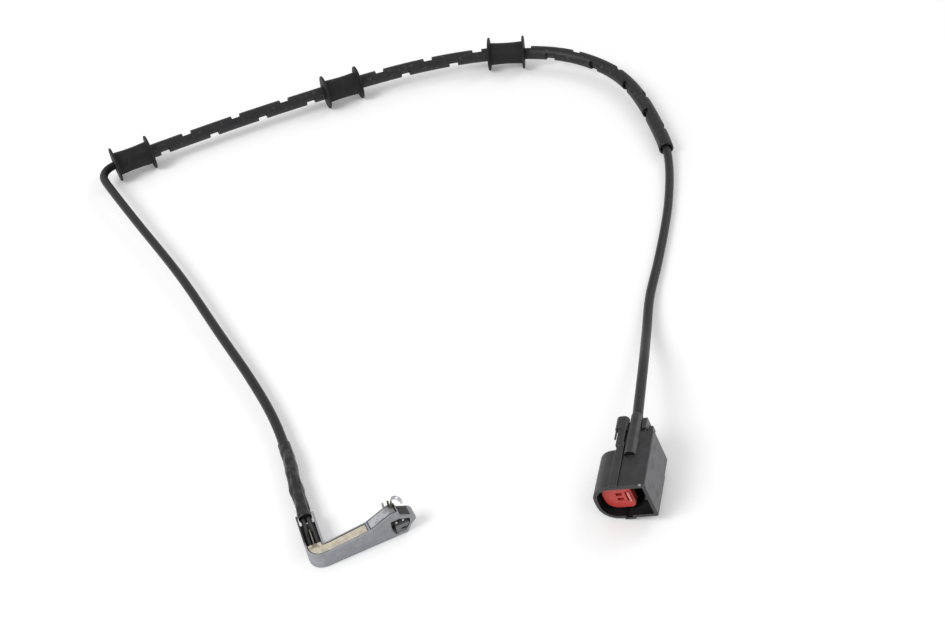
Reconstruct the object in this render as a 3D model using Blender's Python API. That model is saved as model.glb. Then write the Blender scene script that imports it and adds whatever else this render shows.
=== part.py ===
"""Brake pad wear sensor lead: L-shaped sensor head, jacketed cable in a slotted
conduit with three rubber body grommets, and a two-way sealed connector.

The lead lies on a flat surface. +X runs from the sensor head to the connector,
+Y runs from both ends to the grommets, +Z is up and the surface is z = 0.
"""

from math import acos, atan2, ceil, cos, pi, radians, sin

import bmesh
import bpy
from mathutils import Matrix, Vector

MM = 0.001

for existing in list(bpy.data.objects):
    bpy.data.objects.remove(existing, do_unlink=True)

# Clearance between pieces that touch on the real lead
SEAT_GAP = 0.30 * MM

# Cable
CABLE_DIAMETER = 4.0 * MM
CABLE_LONGEST_STEP = 11.0 * MM
CABLE_TURN_STEP = radians(14.0)

# Slotted conduit
CONDUIT_DIAMETER = 7.0 * MM
CONDUIT_WALL = 0.85 * MM
CONDUIT_LENGTH = 348.6 * MM
CONDUIT_RING_STEP = 10.5 * MM
CONDUIT_TURN_STEP = radians(10.0)
CONDUIT_SIDES = 18
SLOT_OVERSHOOT = 2.0 * MM
SLOT_LENGTH = 4.8 * MM
SLOT_DEPTH = 2.1 * MM
SLOT_PITCH = 26.8 * MM
SLOT_FIRST = 12.2 * MM
SLOT_COUNT = 25
SLOT_TILT_AT_FIRST_END = radians(48.0)
SLOT_TILT_AT_LAST_END = radians(-18.0)

# Rubber grommets, all three alike
GROMMET_LENGTH = 19.7 * MM
GROMMET_FLANGE_DIAMETER = 17.5 * MM
GROMMET_FLANGE_THICKNESS = 1.3 * MM
GROMMET_RIM_THICKNESS = 0.9 * MM
GROMMET_BARREL_DIAMETER = 11.8 * MM
GROMMET_WAIST_DEPTH = 0.35 * MM
GROMMET_FILLET = 0.9 * MM
GROMMET_BORE_CLEARANCE = 0.35 * MM
GROMMET_SIDES = 30
GROMMET_PLACES = {
    "grommet_first": 9.85 * MM,
    "grommet_second": 125.0 * MM,
    "grommet_third": 216.0 * MM,
}

# The first grommet's outer face, measured along the route from the sensor head.
# The conduit starts just inside that face.
CONDUIT_MARK = 268.13 * MM
CONDUIT_SETBACK = 0.6 * MM

# Route of the cable's centre line, in millimetres, from the sensor head
CABLE_ROUTE = [
    (-39.61, -144.36, 5.0),
    (-40.49, -140.97, 5.0),
    (-41.64, -136.3, 5.0),
    (-44.9, -121.5, 4.9),
    (-48.5, -105.0, 4.9),
    (-53.9, -87.2, 5.0),
    (-63.6, -64.2, 5.4),
    (-77.3, -36.0, 6.0),
    (-97.9, 6.5, 7.0),
    (-122.9, 52.0, 8.1),
    (-136.2, 76.6, 8.65),
    (-141.1, 86.2, 8.75),
    (-142.4, 90.2, 8.75),
    (-142.0, 94.3, 8.75),
    (-139.9, 97.7, 8.75),
    (-136.4, 99.9, 8.75),
    (-128.8, 103.1, 8.75),
    (-103.0, 113.4, 8.75),
    (-70.0, 125.8, 8.75),
    (-38.0, 136.4, 8.75),
    (-20.5, 141.9, 8.75),
    (-3.5, 146.6, 8.75),
    (20.0, 151.6, 8.75),
    (45.0, 154.1, 8.75),
    (67.5, 153.0, 8.75),
    (87.0, 148.6, 8.75),
    (101.0, 142.4, 8.5),
    (112.4, 134.0, 7.8),
    (121.8, 122.8, 7.2),
    (127.9, 109.8, 6.6),
    (131.7, 95.0, 6.0),
    (134.5, 75.0, 5.1),
    (135.7, 55.0, 4.2),
    (134.3, 41.0, 3.0),
    (128.9, 17.0, 2.15),
    (123.3, -1.5, 2.1),
    (115.6, -24.0, 2.2),
    (107.5, -46.4, 2.9),
    (101.6, -69.5, 5.8),
    (95.6, -94.0, 12.9),
    (87.24, -125.91, 18.99),
]

# Moves the whole lead so that the middle of its outline is at the origin
LEAD_SHIFT = (1.4 * MM, -0.09 * MM)

# Sensor head: trough arm, entry leg, ramp and head. Its own frame has the outer
# corner at the origin, X along the arm, Y towards the leg and Z up.
HEAD_PLACE = (-37.5 * MM, -162.3 * MM, 0.0)
HEAD_TURN = radians(19.5)
ENTRY_ANGLE = radians(85.0)
ARM_WIDTH = 5.2 * MM
ARM_RIM_AT_CORNER = 7.6 * MM
ARM_RIM_AT_RAMP = 9.0 * MM
ARM_SLOPE_START = 8.4 * MM
RAMP_START = 22.8 * MM
RAMP_END_SETBACK = 9.2 * MM
HEAD_HEIGHT = 13.0 * MM
HEAD_LENGTH = 40.6 * MM
PEAK_SETBACK = 6.1 * MM
SHOULDER_SETBACK = 5.6 * MM
SHOULDER_DROP = 2.2 * MM
BROW_SETBACK = 0.9 * MM
BROW_DROP = 4.9 * MM
NOSE_TOP_DROP = 6.3 * MM
NOSE_FOOT_SETBACK = 4.0 * MM
NOSE_KNEE_SETBACK = 2.1 * MM
NOSE_KNEE_HEIGHT = 3.3 * MM
NOSE_RISE_END = 5.4 * MM
TROUGH_END = 22.5 * MM
LEG_LEFT = -1.0 * MM
LEG_WIDTH = 6.9 * MM
LEG_LENGTH = 21.4 * MM
TROUGH_WALL = 0.65 * MM
TROUGH_FLOOR = 1.3 * MM
CORNER_RADIUS = 5.4 * MM
INNER_CORNER_RADIUS = 0.8 * MM
HEAD_EDGE = 0.25 * MM
CUTTER_REACH = 3.0 * MM

# Potting and the cores that it seals
POTTING_DROP = 0.2 * MM
POTTING_LEG_REACH = 6.4 * MM
CORE_DIAMETER = 1.9 * MM
CORE_HEIGHT = 4.7 * MM
CORE_RIB_WIDTH = 0.5 * MM
CORE_RIB_TOP = 6.6 * MM
CORE_RIB_END = 14.2 * MM

# Heat-shrink sleeve over the end of the cable
SLEEVE_LENGTH = 42.6 * MM
SLEEVE_WALL = 0.30 * MM
SLEEVE_CLEARANCE = 0.22 * MM
SLEEVE_RIDGE_PLACE = 4.6 * MM
SLEEVE_RIDGE_HEIGHT = 0.18 * MM
SLEEVE_SIDES = 20
CABLE_START = 3.0 * MM

# Window in the front of the head, with its carrier plate and wire loop
WINDOW_LEFT_SETBACK = 9.8 * MM
WINDOW_RIGHT_SETBACK = 2.4 * MM
WINDOW_BOTTOM = 1.4 * MM
WINDOW_TOP_DROP = 3.8 * MM
WINDOW_DEPTH = 3.4 * MM
WINDOW_SLANT_WIDTH = 2.2 * MM
WINDOW_SLANT_HEIGHT = 3.6 * MM
WINDOW_LEFT_SLANT_WIDTH = 1.2 * MM
WINDOW_LEFT_SLANT_HEIGHT = 2.6 * MM
WINDOW_TOP_SLANT_WIDTH = 3.9 * MM
WINDOW_TOP_SLANT_HEIGHT = 1.8 * MM
CARRIER_LEFT_MARGIN = 1.6 * MM
CARRIER_TOP = 5.4 * MM
CARRIER_SETBACK = 0.15 * MM
CARRIER_SLOT_WIDTH = 1.0 * MM
CARRIER_SLOT_HEIGHT = 0.45 * MM
CARRIER_SLOT_DEPTH = 1.2 * MM
CARRIER_SLOT_RISE = 1.2 * MM
CARRIER_SLOT_ASIDE = 0.4 * MM
LOOP_WIRE_DIAMETER = 0.8 * MM
LOOP_HEIGHT = 6.9 * MM
LOOP_LEFT_SETBACK = 7.5 * MM
LOOP_RIGHT_SETBACK = 4.9 * MM
LOOP_SETBACK = 0.6 * MM
LOOP_BEND = 0.9 * MM

# Dark wear pad in the sloping top of the nose
TIP_START_SETBACK = 5.3 * MM
TIP_LENGTH = 3.2 * MM
TIP_SIDE_WALL = 0.45 * MM
TIP_DEPTH = 0.45 * MM
TIP_PROUD = 0.15 * MM
TIP_EDGE = 0.12 * MM

# Spring clip
CLIP_THICKNESS = 0.4 * MM
CLIP_PROUD = 0.1 * MM
CLIP_START = 0.45 * MM
RECESS_START = 0.35 * MM
RECESS_DEPTH = 0.6 * MM
RECESS_SIDE_WALL = 0.45 * MM
CLIP_SLIT_SETBACK = 6.9 * MM
CLIP_SLIT_WIDTH = 0.95 * MM
CLIP_SLIT_DEPTH = 2.0 * MM
CLIP_TUCK_DEPTH = 1.4 * MM
PRONG_SETBACKS = (10.2 * MM, 8.2 * MM)
PRONG_WIDTH = 0.7 * MM
PRONG_ROOT = 0.25 * MM
PRONG_RISE = 3.0 * MM
FINGER_SETBACK = 7.25 * MM
FINGER_ASIDE = 3.65 * MM
FINGER_WIDTH = 1.4 * MM
FINGER_TURN = radians(-35.0)
FINGER_LINE = [
    (0.0 * MM, -0.25 * MM),
    (0.0 * MM, 2.5 * MM),
    (0.5 * MM, 4.4 * MM),
    (1.3 * MM, 5.2 * MM),
    (2.3 * MM, 5.4 * MM),
    (3.3 * MM, 4.8 * MM),
    (4.0 * MM, 3.8 * MM),
    (4.3 * MM, 2.8 * MM),
]

# Connector housing. Its own frame has the middle of the mouth's height at z = 0,
# X to the flat side, Y to the wire end and Z to the latch side. It rests on its
# round side and on the key under it, which sets the roll.
CONNECTOR_PLACE = (76.1 * MM, -158.4 * MM)
CONNECTOR_YAW = radians(-19.0)
CONNECTOR_ROLL = radians(-17.5)
CONNECTOR_LEFT = -11.2 * MM
CONNECTOR_RIGHT = 10.3 * MM
CONNECTOR_HEIGHT = 17.4 * MM
SHROUD_LENGTH = 18.0 * MM
ROUND_SIDE_RADIUS = 7.0 * MM
FLAT_SIDE_RADIUS = 0.8 * MM
SHROUD_WALL = 1.4 * MM
MOUTH_DEPTH = 15.0 * MM
MOUTH_FLAT_SIDE_RADIUS = 0.4 * MM
HOUSING_EDGE = 0.2 * MM

BODY_LEFT = -3.6 * MM
BODY_STEP = 0.15 * MM
BODY_END = 26.2 * MM
BODY_JOIN = 2.0 * MM
REAR_BLOCK_LEFT = -2.9 * MM
REAR_BLOCK_RIGHT = 6.9 * MM
REAR_BLOCK_END = 31.8 * MM
REAR_BLOCK_LOW = 1.0 * MM
REAR_BLOCK_DROP = 0.6 * MM
EAR_LEFT = 5.2 * MM
EAR_START = 27.2 * MM
EAR_END = 32.3 * MM
EAR_RISE = 0.5 * MM
REAR_TAB_LEFT = 7.6 * MM
REAR_TAB_RIGHT = 9.4 * MM
REAR_TAB_LOW = 5.0 * MM
REAR_TAB_HIGH = 8.2 * MM
REAR_TAB_END = 28.8 * MM

RAIL_LEFT = -2.9 * MM
RAIL_RIGHT = 0.0 * MM
RAIL_START = 0.15 * MM
RAIL_END = 20.2 * MM
RAIL_HEIGHT = 0.8 * MM
BOSS_CENTRE = 2.7 * MM
BOSS_DIAMETER = 4.5 * MM
BOSS_START = 14.5 * MM
BOSS_END = 33.8 * MM
BOSS_SIDES = 18

BEAM_LEFT = -3.25 * MM
BEAM_RIGHT = -0.45 * MM
BEAM_ROOT_START = 18.8 * MM
BEAM_ROOT_END = 20.7 * MM
BEAM_ROOT_MARGIN = 0.25 * MM
BEAM_ROOT_DROP = 0.3 * MM
BEAM_LIFT = 0.5 * MM
BEAM_THICKNESS = 0.9 * MM
PAD_LEFT = -4.9 * MM
PAD_RIGHT = -0.2 * MM
PAD_START = 27.0 * MM
PAD_END = 33.0 * MM
PAD_DROP = 0.93 * MM
PAD_RISE = 1.8 * MM
PAD_RADIUS = 1.6 * MM
LEVER_LEFT = -4.4 * MM
LEVER_RIGHT = -3.7 * MM
LEVER_START = 22.2 * MM
LEVER_LIFT = 0.4 * MM
LEVER_RISE = 1.1 * MM

KEYWAY_CENTRE = -0.7 * MM
KEYWAY_WIDTH = 2.6 * MM
KEYWAY_WALL = 0.8 * MM
KEYWAY_DEPTH = 1.2 * MM
SIDE_RIB_DEPTH = 0.7 * MM
SIDE_RIB_LOW = 0.8 * MM
SIDE_RIB_HIGH = 1.7 * MM

# Inside the mouth
TOWER_LEFT = -8.7 * MM
TOWER_RIGHT = 2.7 * MM
TOWER_BOTTOM = -6.1 * MM
TOWER_TOP = 5.4 * MM
TOWER_ROUND = 4.6 * MM
TOWER_CORNER = 0.8 * MM
TOWER_LOWER_CORNER = 2.4 * MM
TOWER_INSET = 0.6 * MM
LOCK_SETBACK = 3.0 * MM
LOCK_LENGTH = 3.4 * MM
LOCK_SLOT_WIDTH = 2.1 * MM
LOCK_SLOT_HEIGHT = 1.4 * MM
LOCK_GROOVE_PLACE = 0.4 * MM
LOCK_GROOVE_WIDTH = 0.6 * MM
LOCK_GROOVE_DEPTH = 0.9 * MM
LOCK_GROOVE_LOW = -2.5 * MM
LOCK_GROOVE_HIGH = 2.0 * MM
TERMINAL_PLACE = -2.4 * MM
TERMINAL_PITCH = 2.6 * MM
TERMINAL_CENTRE_HEIGHT = -0.2 * MM
TERMINAL_SIZE = 1.5 * MM
TERMINAL_WALL = 0.3 * MM
TERMINAL_MOUTH_DEPTH = 4.0 * MM
TERMINAL_SETBACK = 1.0 * MM
SEAL_THICKNESS = 0.8 * MM
SEAL_LENGTH = 3.0 * MM


# Finishes


def finish(name, colour, roughness, metallic=0.0):
    material = bpy.data.materials.new(name)
    material.use_nodes = True
    shader = material.node_tree.nodes["Principled BSDF"]
    shader.inputs["Base Color"].default_value = (*colour, 1.0)
    shader.inputs["Roughness"].default_value = roughness
    shader.inputs["Metallic"].default_value = metallic
    return material


# Shapes


def piece_from(name, shape, material, sharp_angle=None):
    """A node of the lead, from a finished mesh."""
    bmesh.ops.recalc_face_normals(shape, faces=shape.faces)
    mesh = bpy.data.meshes.new(name)
    shape.to_mesh(mesh)
    shape.free()
    mesh.materials.append(material)
    if sharp_angle is not None:
        for polygon in mesh.polygons:
            polygon.use_smooth = True
        mesh.set_sharp_from_angle(angle=sharp_angle)
    piece = bpy.data.objects.new(name, mesh)
    bpy.context.collection.objects.link(piece)
    return piece


def tool_from(name, shape):
    """A solid that only cuts or joins another piece."""
    bmesh.ops.recalc_face_normals(shape, faces=shape.faces)
    mesh = bpy.data.meshes.new(name)
    shape.to_mesh(mesh)
    shape.free()
    tool = bpy.data.objects.new(name, mesh)
    tool.hide_render = True
    tool.display_type = "WIRE"
    bpy.context.collection.objects.link(tool)
    return tool


def apply_tool(piece, tool, operation="DIFFERENCE"):
    step = piece.modifiers.new(tool.name, "BOOLEAN")
    step.operation = operation
    step.solver = "EXACT"
    step.object = tool
    return step


def prism(outline, low, high, to_space):
    """The outline's corners (a, b) carried from low to high by to_space(a, b, c)."""
    shape = bmesh.new()
    bottom = [shape.verts.new(to_space(a, b, low)) for a, b in outline]
    top = [shape.verts.new(to_space(a, b, high)) for a, b in outline]
    shape.faces.new(bottom)
    shape.faces.new(list(reversed(top)))
    count = len(outline)
    for index in range(count):
        following = (index + 1) % count
        shape.faces.new((bottom[index], bottom[following], top[following], top[index]))
    return shape


def flat_plan(a, b, c):
    return Vector((a, b, c))


def side_view(a, b, c):
    return Vector((a, c, b))


def cross_section(a, b, c):
    return Vector((a, c, b))


def block(left, right, front, back, low, high):
    outline = [(left, front), (right, front), (right, back), (left, back)]
    return prism(outline, low, high, flat_plan)


def filleted(corners, steps=4):
    """An outline whose corners (a, b, radius) are rounded."""
    outline = []
    count = len(corners)
    for index, (a, b, radius) in enumerate(corners):
        here = Vector((a, b))
        if radius <= 0.0:
            outline.append((a, b))
            continue
        before = Vector(corners[index - 1][:2]) - here
        after = Vector(corners[(index + 1) % count][:2]) - here
        half = acos(max(-1.0, min(1.0, before.normalized().dot(after.normalized())))) / 2
        bisector = (before.normalized() + after.normalized()).normalized()
        centre = here + bisector * (radius / sin(half))
        start = here + before.normalized() * (radius / (sin(half) / cos(half))) - centre
        finish_ray = here + after.normalized() * (radius / (sin(half) / cos(half))) - centre
        first = atan2(start.y, start.x)
        sweep = atan2(finish_ray.y, finish_ray.x) - first
        sweep = (sweep + pi) % (2 * pi) - pi
        pieces = max(1, ceil(steps * abs(sweep) / (pi / 2)))
        for step in range(pieces + 1):
            angle = first + sweep * step / pieces
            outline.append((centre.x + radius * cos(angle), centre.y + radius * sin(angle)))
    return outline


def softened(shape, width, limit=radians(40.0)):
    """Breaks the sharp edges of a moulding."""
    bmesh.ops.recalc_face_normals(shape, faces=shape.faces)
    edges = [edge for edge in shape.edges if edge.calc_face_angle(0.0) > limit]
    bmesh.ops.bevel(
        shape, geom=edges, offset=width, segments=1, affect="EDGES", profile=0.5
    )
    return shape


def bent_strip(line, thickness, width, to_space):
    """Sheet metal bent along a line of (a, b) points, as wide as width."""
    points = [Vector(point) for point in line]
    upper = []
    lower = []
    for index, point in enumerate(points):
        before = points[max(index - 1, 0)]
        after = points[min(index + 1, len(points) - 1)]
        incoming = (point - before).normalized() if index > 0 else (after - point).normalized()
        outgoing = (after - point).normalized() if index < len(points) - 1 else incoming
        mitre = (incoming + outgoing).normalized()
        across = Vector((-mitre.y, mitre.x))
        stretch = thickness / 2 / max(0.4, across.dot(Vector((-incoming.y, incoming.x))))
        upper.append(tuple(point + across * stretch))
        lower.append(tuple(point - across * stretch))
    return prism(upper + lower[::-1], -width / 2, width / 2, to_space)


class Route:
    """A smooth line through chosen points, measured by its length."""

    STEPS = 24

    def __init__(self, points):
        ends = [points[0] * 2 - points[1], *points, points[-1] * 2 - points[-2]]
        self.points = [points[0].copy()]
        for index in range(1, len(ends) - 2):
            for step in range(1, self.STEPS + 1):
                self.points.append(
                    self.between(ends[index - 1 : index + 3], step / self.STEPS)
                )
        self.lengths = [0.0]
        for first, second in zip(self.points, self.points[1:]):
            self.lengths.append(self.lengths[-1] + (second - first).length)
        self.length = self.lengths[-1]

    @staticmethod
    def between(knots, share):
        """Smooth curve through four knots, spaced by the root of their distance."""
        times = [0.0]
        for first, second in zip(knots, knots[1:]):
            times.append(times[-1] + (second - first).length ** 0.5)
        time = times[1] + (times[2] - times[1]) * share

        def mix(first, second, start, stop):
            return first.lerp(second, (time - start) / (stop - start))

        sides = [mix(knots[i], knots[i + 1], times[i], times[i + 1]) for i in range(3)]
        early = mix(sides[0], sides[1], times[0], times[2])
        late = mix(sides[1], sides[2], times[1], times[3])
        return mix(early, late, times[1], times[2])

    def at(self, length):
        length = max(0.0, min(self.length, length))
        low = 0
        high = len(self.lengths) - 1
        while high - low > 1:
            middle = (low + high) // 2
            if self.lengths[middle] <= length:
                low = middle
            else:
                high = middle
        share = (length - self.lengths[low]) / (self.lengths[high] - self.lengths[low])
        return self.points[low].lerp(self.points[high], share)

    def heading(self, length):
        reach = 0.6 * MM
        return (self.at(length + reach) - self.at(length - reach)).normalized()

    def axes(self, length):
        """Heading, level direction to its left, and the direction square to both."""
        heading = self.heading(length)
        left = Vector((0.0, 0.0, 1.0)).cross(heading).normalized()
        return heading, left, heading.cross(left)

    def stations(self, start, end, longest, turn):
        """Lengths along the route, closer together where it bends."""
        marks = [start]
        probe = 0.5 * MM
        length = start
        last_heading = self.heading(start)
        while length < end:
            length += probe
            gone = length - marks[-1]
            turned = self.heading(length).angle(last_heading)
            if gone >= longest or turned >= turn:
                marks.append(length)
                last_heading = self.heading(length)
        if end - marks[-1] < longest / 3 and len(marks) > 1:
            marks.pop()
        marks.append(end)
        return marks


def ringed_body(route, profile, sides):
    """A hollow round body along the route. The profile is a closed loop of
    (length along the route, radius) points."""
    shape = bmesh.new()
    rings = []
    for length, radius in profile:
        centre = route.at(length)
        _, left, up = route.axes(length)
        ring = []
        for index in range(sides):
            angle = 2 * pi * (index + 0.5) / sides
            ring.append(shape.verts.new(centre + (left * cos(angle) + up * sin(angle)) * radius))
        rings.append(ring)
    for first, second in zip(rings, rings[1:] + rings[:1]):
        for index in range(sides):
            following = (index + 1) % sides
            shape.faces.new((first[index], first[following], second[following], second[index]))
    return shape


def route_box(route, length, long, direction_angle, near, far, half_width):
    """Corners of a box at a place on the route, on the side that the angle names."""
    centre = route.at(length)
    heading, left, up = route.axes(length)
    outward = left * cos(direction_angle) + up * sin(direction_angle)
    across = heading.cross(outward)

    def to_space(a, b, c):
        return centre + heading * a + across * b + outward * c

    half = long / 2
    outline = [(-half, -half_width), (half, -half_width), (half, half_width), (-half, half_width)]
    return prism(outline, near, far, to_space)


def merged(shapes):
    """Several separate solids in one mesh."""
    whole = bmesh.new()
    for shape in shapes:
        scratch = bpy.data.meshes.new("scratch")
        shape.to_mesh(scratch)
        shape.free()
        whole.from_mesh(scratch)
        bpy.data.meshes.remove(scratch)
    return whole


def placed(shape, place):
    shape.transform(place)
    return shape


def wire(name, points, diameter, material, resolution):
    """A round wire or cable through the points, closed at both ends."""
    line = bpy.data.curves.new(name, "CURVE")
    line.dimensions = "3D"
    line.bevel_depth = diameter / 2
    line.bevel_resolution = resolution
    line.use_fill_caps = True
    spline = line.splines.new("POLY")
    spline.points.add(len(points) - 1)
    for index, point in enumerate(points):
        spline.points[index].co = (*point, 1.0)
    line.materials.append(material)
    piece = bpy.data.objects.new(name, line)
    bpy.context.collection.objects.link(piece)
    return piece


# Cable


shift = Vector((LEAD_SHIFT[0], LEAD_SHIFT[1], 0.0))
route = Route([Vector(point) * MM + shift for point in CABLE_ROUTE])

cable_marks = route.stations(CABLE_START, route.length, CABLE_LONGEST_STEP, CABLE_TURN_STEP)
wire(
    "cable",
    [route.at(mark) for mark in cable_marks],
    CABLE_DIAMETER,
    finish("cable_jacket", (0.035, 0.036, 0.038), 0.42),
    3,
)


# Heat-shrink sleeve


sleeve_bore = CABLE_DIAMETER / 2 + SLEEVE_CLEARANCE
sleeve_outer = sleeve_bore + SLEEVE_WALL
sleeve_marks = route.stations(0.0, SLEEVE_LENGTH, CABLE_LONGEST_STEP, CABLE_TURN_STEP)
ridge_marks = [SLEEVE_RIDGE_PLACE - MM, SLEEVE_RIDGE_PLACE, SLEEVE_RIDGE_PLACE + MM]
outer_marks = sorted(sleeve_marks + ridge_marks)
sleeve_profile = []
for mark in outer_marks:
    raised = SLEEVE_RIDGE_HEIGHT if mark == SLEEVE_RIDGE_PLACE else 0.0
    sleeve_profile.append((mark, sleeve_outer + raised))
for mark in reversed(sleeve_marks):
    sleeve_profile.append((mark, sleeve_bore))
piece_from(
    "heat_shrink_sleeve",
    ringed_body(route, sleeve_profile, SLEEVE_SIDES),
    finish("heat_shrink", (0.045, 0.046, 0.048), 0.35),
    radians(40.0),
)


# Slotted conduit


conduit_start = CONDUIT_MARK + CONDUIT_SETBACK
conduit_end = conduit_start + CONDUIT_LENGTH
conduit_radius = CONDUIT_DIAMETER / 2
conduit_marks = route.stations(conduit_start, conduit_end, CONDUIT_RING_STEP, CONDUIT_TURN_STEP)
conduit_profile = [(mark, conduit_radius) for mark in conduit_marks]
conduit_profile += [(mark, conduit_radius - CONDUIT_WALL) for mark in reversed(conduit_marks)]
slotted_conduit = piece_from(
    "slotted_conduit",
    ringed_body(route, conduit_profile, CONDUIT_SIDES),
    finish("conduit_plastic", (0.030, 0.029, 0.033), 0.45),
    radians(40.0),
)

slot_boxes = []
for index in range(SLOT_COUNT):
    along = SLOT_FIRST + index * SLOT_PITCH / 2
    share = along / CONDUIT_LENGTH
    tilt = SLOT_TILT_AT_FIRST_END + (SLOT_TILT_AT_LAST_END - SLOT_TILT_AT_FIRST_END) * share
    opposite = pi if index % 2 else 0.0
    slot_boxes.append(
        route_box(
            route,
            conduit_start + along,
            SLOT_LENGTH,
            tilt + opposite,
            conduit_radius - SLOT_DEPTH,
            conduit_radius + SLOT_OVERSHOOT,
            conduit_radius + SLOT_OVERSHOOT,
        )
    )
apply_tool(slotted_conduit, tool_from("conduit_slots", merged(slot_boxes)))


# Grommets


def grommet_profile(middle):
    half = GROMMET_LENGTH / 2
    bore = conduit_radius + GROMMET_BORE_CLEARANCE
    flange = GROMMET_FLANGE_DIAMETER / 2
    barrel = GROMMET_BARREL_DIAMETER / 2
    bevel = (GROMMET_FLANGE_THICKNESS - GROMMET_RIM_THICKNESS) / 2
    inner_face = half - GROMMET_FLANGE_THICKNESS
    one_end = [
        (half, bore),
        (half, flange - bevel),
        (half - bevel, flange),
        (inner_face + bevel, flange),
        (inner_face, flange - bevel),
        (inner_face, barrel + GROMMET_FILLET),
        (inner_face - 0.35 * GROMMET_FILLET, barrel + 0.3 * GROMMET_FILLET),
        (inner_face - GROMMET_FILLET, barrel),
        (0.4 * inner_face, barrel - 0.85 * GROMMET_WAIST_DEPTH),
    ]
    outside = [(-length, radius) for length, radius in one_end]
    outside.append((0.0, barrel - GROMMET_WAIST_DEPTH))
    outside += list(reversed(one_end))
    outside.append((0.0, bore))
    return [(middle + length, radius) for length, radius in outside]


for grommet_name, grommet_place in GROMMET_PLACES.items():
    piece_from(
        grommet_name,
        ringed_body(route, grommet_profile(CONDUIT_MARK + grommet_place), GROMMET_SIDES),
        finish(grommet_name + "_rubber", (0.028, 0.028, 0.030), 0.55),
        radians(35.0),
    )


# Sensor head


head_place = Matrix.Translation(Vector(HEAD_PLACE) + shift) @ Matrix.Rotation(HEAD_TURN, 4, "Z")
leg_along = Vector((cos(ENTRY_ANGLE), sin(ENTRY_ANGLE)))
leg_across = Vector((sin(ENTRY_ANGLE), -cos(ENTRY_ANGLE)))


def leg_point(across, along):
    return leg_across * (LEG_LEFT + across) + leg_along * along


def leg_meets(across, back):
    """Where the line at this distance across the leg reaches this far back."""
    return leg_point(across, (back - leg_across.y * (LEG_LEFT + across)) / leg_along.y)


def head_outline(inset, arm_end, leg_reach, outer_radius, inner_radius):
    corner = leg_meets(inset, inset)
    inner = leg_meets(LEG_WIDTH - inset, ARM_WIDTH - inset)
    leg_right = leg_point(LEG_WIDTH - inset, leg_reach)
    leg_left = leg_point(inset, leg_reach)
    return filleted(
        [
            (corner.x, corner.y, outer_radius),
            (arm_end, inset, 0.0),
            (arm_end, ARM_WIDTH - inset, 0.0),
            (inner.x, inner.y, inner_radius),
            (leg_right.x, leg_right.y, 0.0),
            (leg_left.x, leg_left.y, 0.0),
        ]
    )


def line_height(line, place):
    """Height of a line of (place, height) points."""
    if place <= line[0][0]:
        return line[0][1]
    for (start, low), (stop, high) in zip(line, line[1:]):
        if place <= stop:
            return low + (high - low) * (place - start) / (stop - start)
    return line[-1][1]


ramp_end = HEAD_LENGTH - RAMP_END_SETBACK
HEAD_TOP_LINE = [
    (ARM_SLOPE_START, ARM_RIM_AT_CORNER),
    (RAMP_START, ARM_RIM_AT_RAMP),
    (ramp_end, HEAD_HEIGHT),
    (HEAD_LENGTH - PEAK_SETBACK, HEAD_HEIGHT),
    (HEAD_LENGTH - SHOULDER_SETBACK, HEAD_HEIGHT - SHOULDER_DROP),
    (HEAD_LENGTH - BROW_SETBACK, HEAD_HEIGHT - BROW_DROP),
    (HEAD_LENGTH, HEAD_HEIGHT - NOSE_TOP_DROP),
]
HEAD_BOTTOM_LINE = [
    (HEAD_LENGTH - NOSE_FOOT_SETBACK, 0.0),
    (HEAD_LENGTH - NOSE_KNEE_SETBACK, NOSE_KNEE_HEIGHT),
    (HEAD_LENGTH, NOSE_RISE_END),
]

housing_shape = prism(
    head_outline(0.0, HEAD_LENGTH, LEG_LENGTH, CORNER_RADIUS, INNER_CORNER_RADIUS),
    0.0,
    HEAD_HEIGHT,
    flat_plan,
)
for place, _ in HEAD_TOP_LINE[:-1] + HEAD_BOTTOM_LINE[:-1]:
    bmesh.ops.bisect_plane(
        housing_shape,
        geom=housing_shape.verts[:] + housing_shape.edges[:] + housing_shape.faces[:],
        plane_co=(place, 0.0, 0.0),
        plane_no=(1.0, 0.0, 0.0),
    )
for corner in housing_shape.verts:
    line = HEAD_TOP_LINE if corner.co.z > HEAD_HEIGHT / 2 else HEAD_BOTTOM_LINE
    corner.co.z = line_height(line, corner.co.x)
softened(housing_shape, HEAD_EDGE)
sensor_housing = piece_from(
    "sensor_housing",
    placed(housing_shape, head_place),
    finish("housing_plastic", (0.30, 0.31, 0.33), 0.5),
    radians(35.0),
)

well_radius = CORNER_RADIUS - TROUGH_WALL
trough_shape = prism(
    head_outline(
        TROUGH_WALL, TROUGH_END, LEG_LENGTH + CUTTER_REACH, well_radius, INNER_CORNER_RADIUS
    ),
    TROUGH_FLOOR,
    2 * HEAD_HEIGHT,
    flat_plan,
)
apply_tool(sensor_housing, tool_from("trough_space", placed(trough_shape, head_place)))

# A rib in the leg keeps the two cores apart.
core_rib_plan = [
    tuple(leg_point((LEG_WIDTH - CORE_RIB_WIDTH) / 2, POTTING_LEG_REACH + SEAT_GAP)),
    tuple(leg_point((LEG_WIDTH + CORE_RIB_WIDTH) / 2, POTTING_LEG_REACH + SEAT_GAP)),
    tuple(leg_point((LEG_WIDTH + CORE_RIB_WIDTH) / 2, CORE_RIB_END)),
    tuple(leg_point((LEG_WIDTH - CORE_RIB_WIDTH) / 2, CORE_RIB_END)),
]
core_rib = prism(core_rib_plan, TROUGH_FLOOR / 2, CORE_RIB_TOP, flat_plan)
apply_tool(sensor_housing, tool_from("core_rib", placed(core_rib, head_place)), "UNION")

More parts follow.
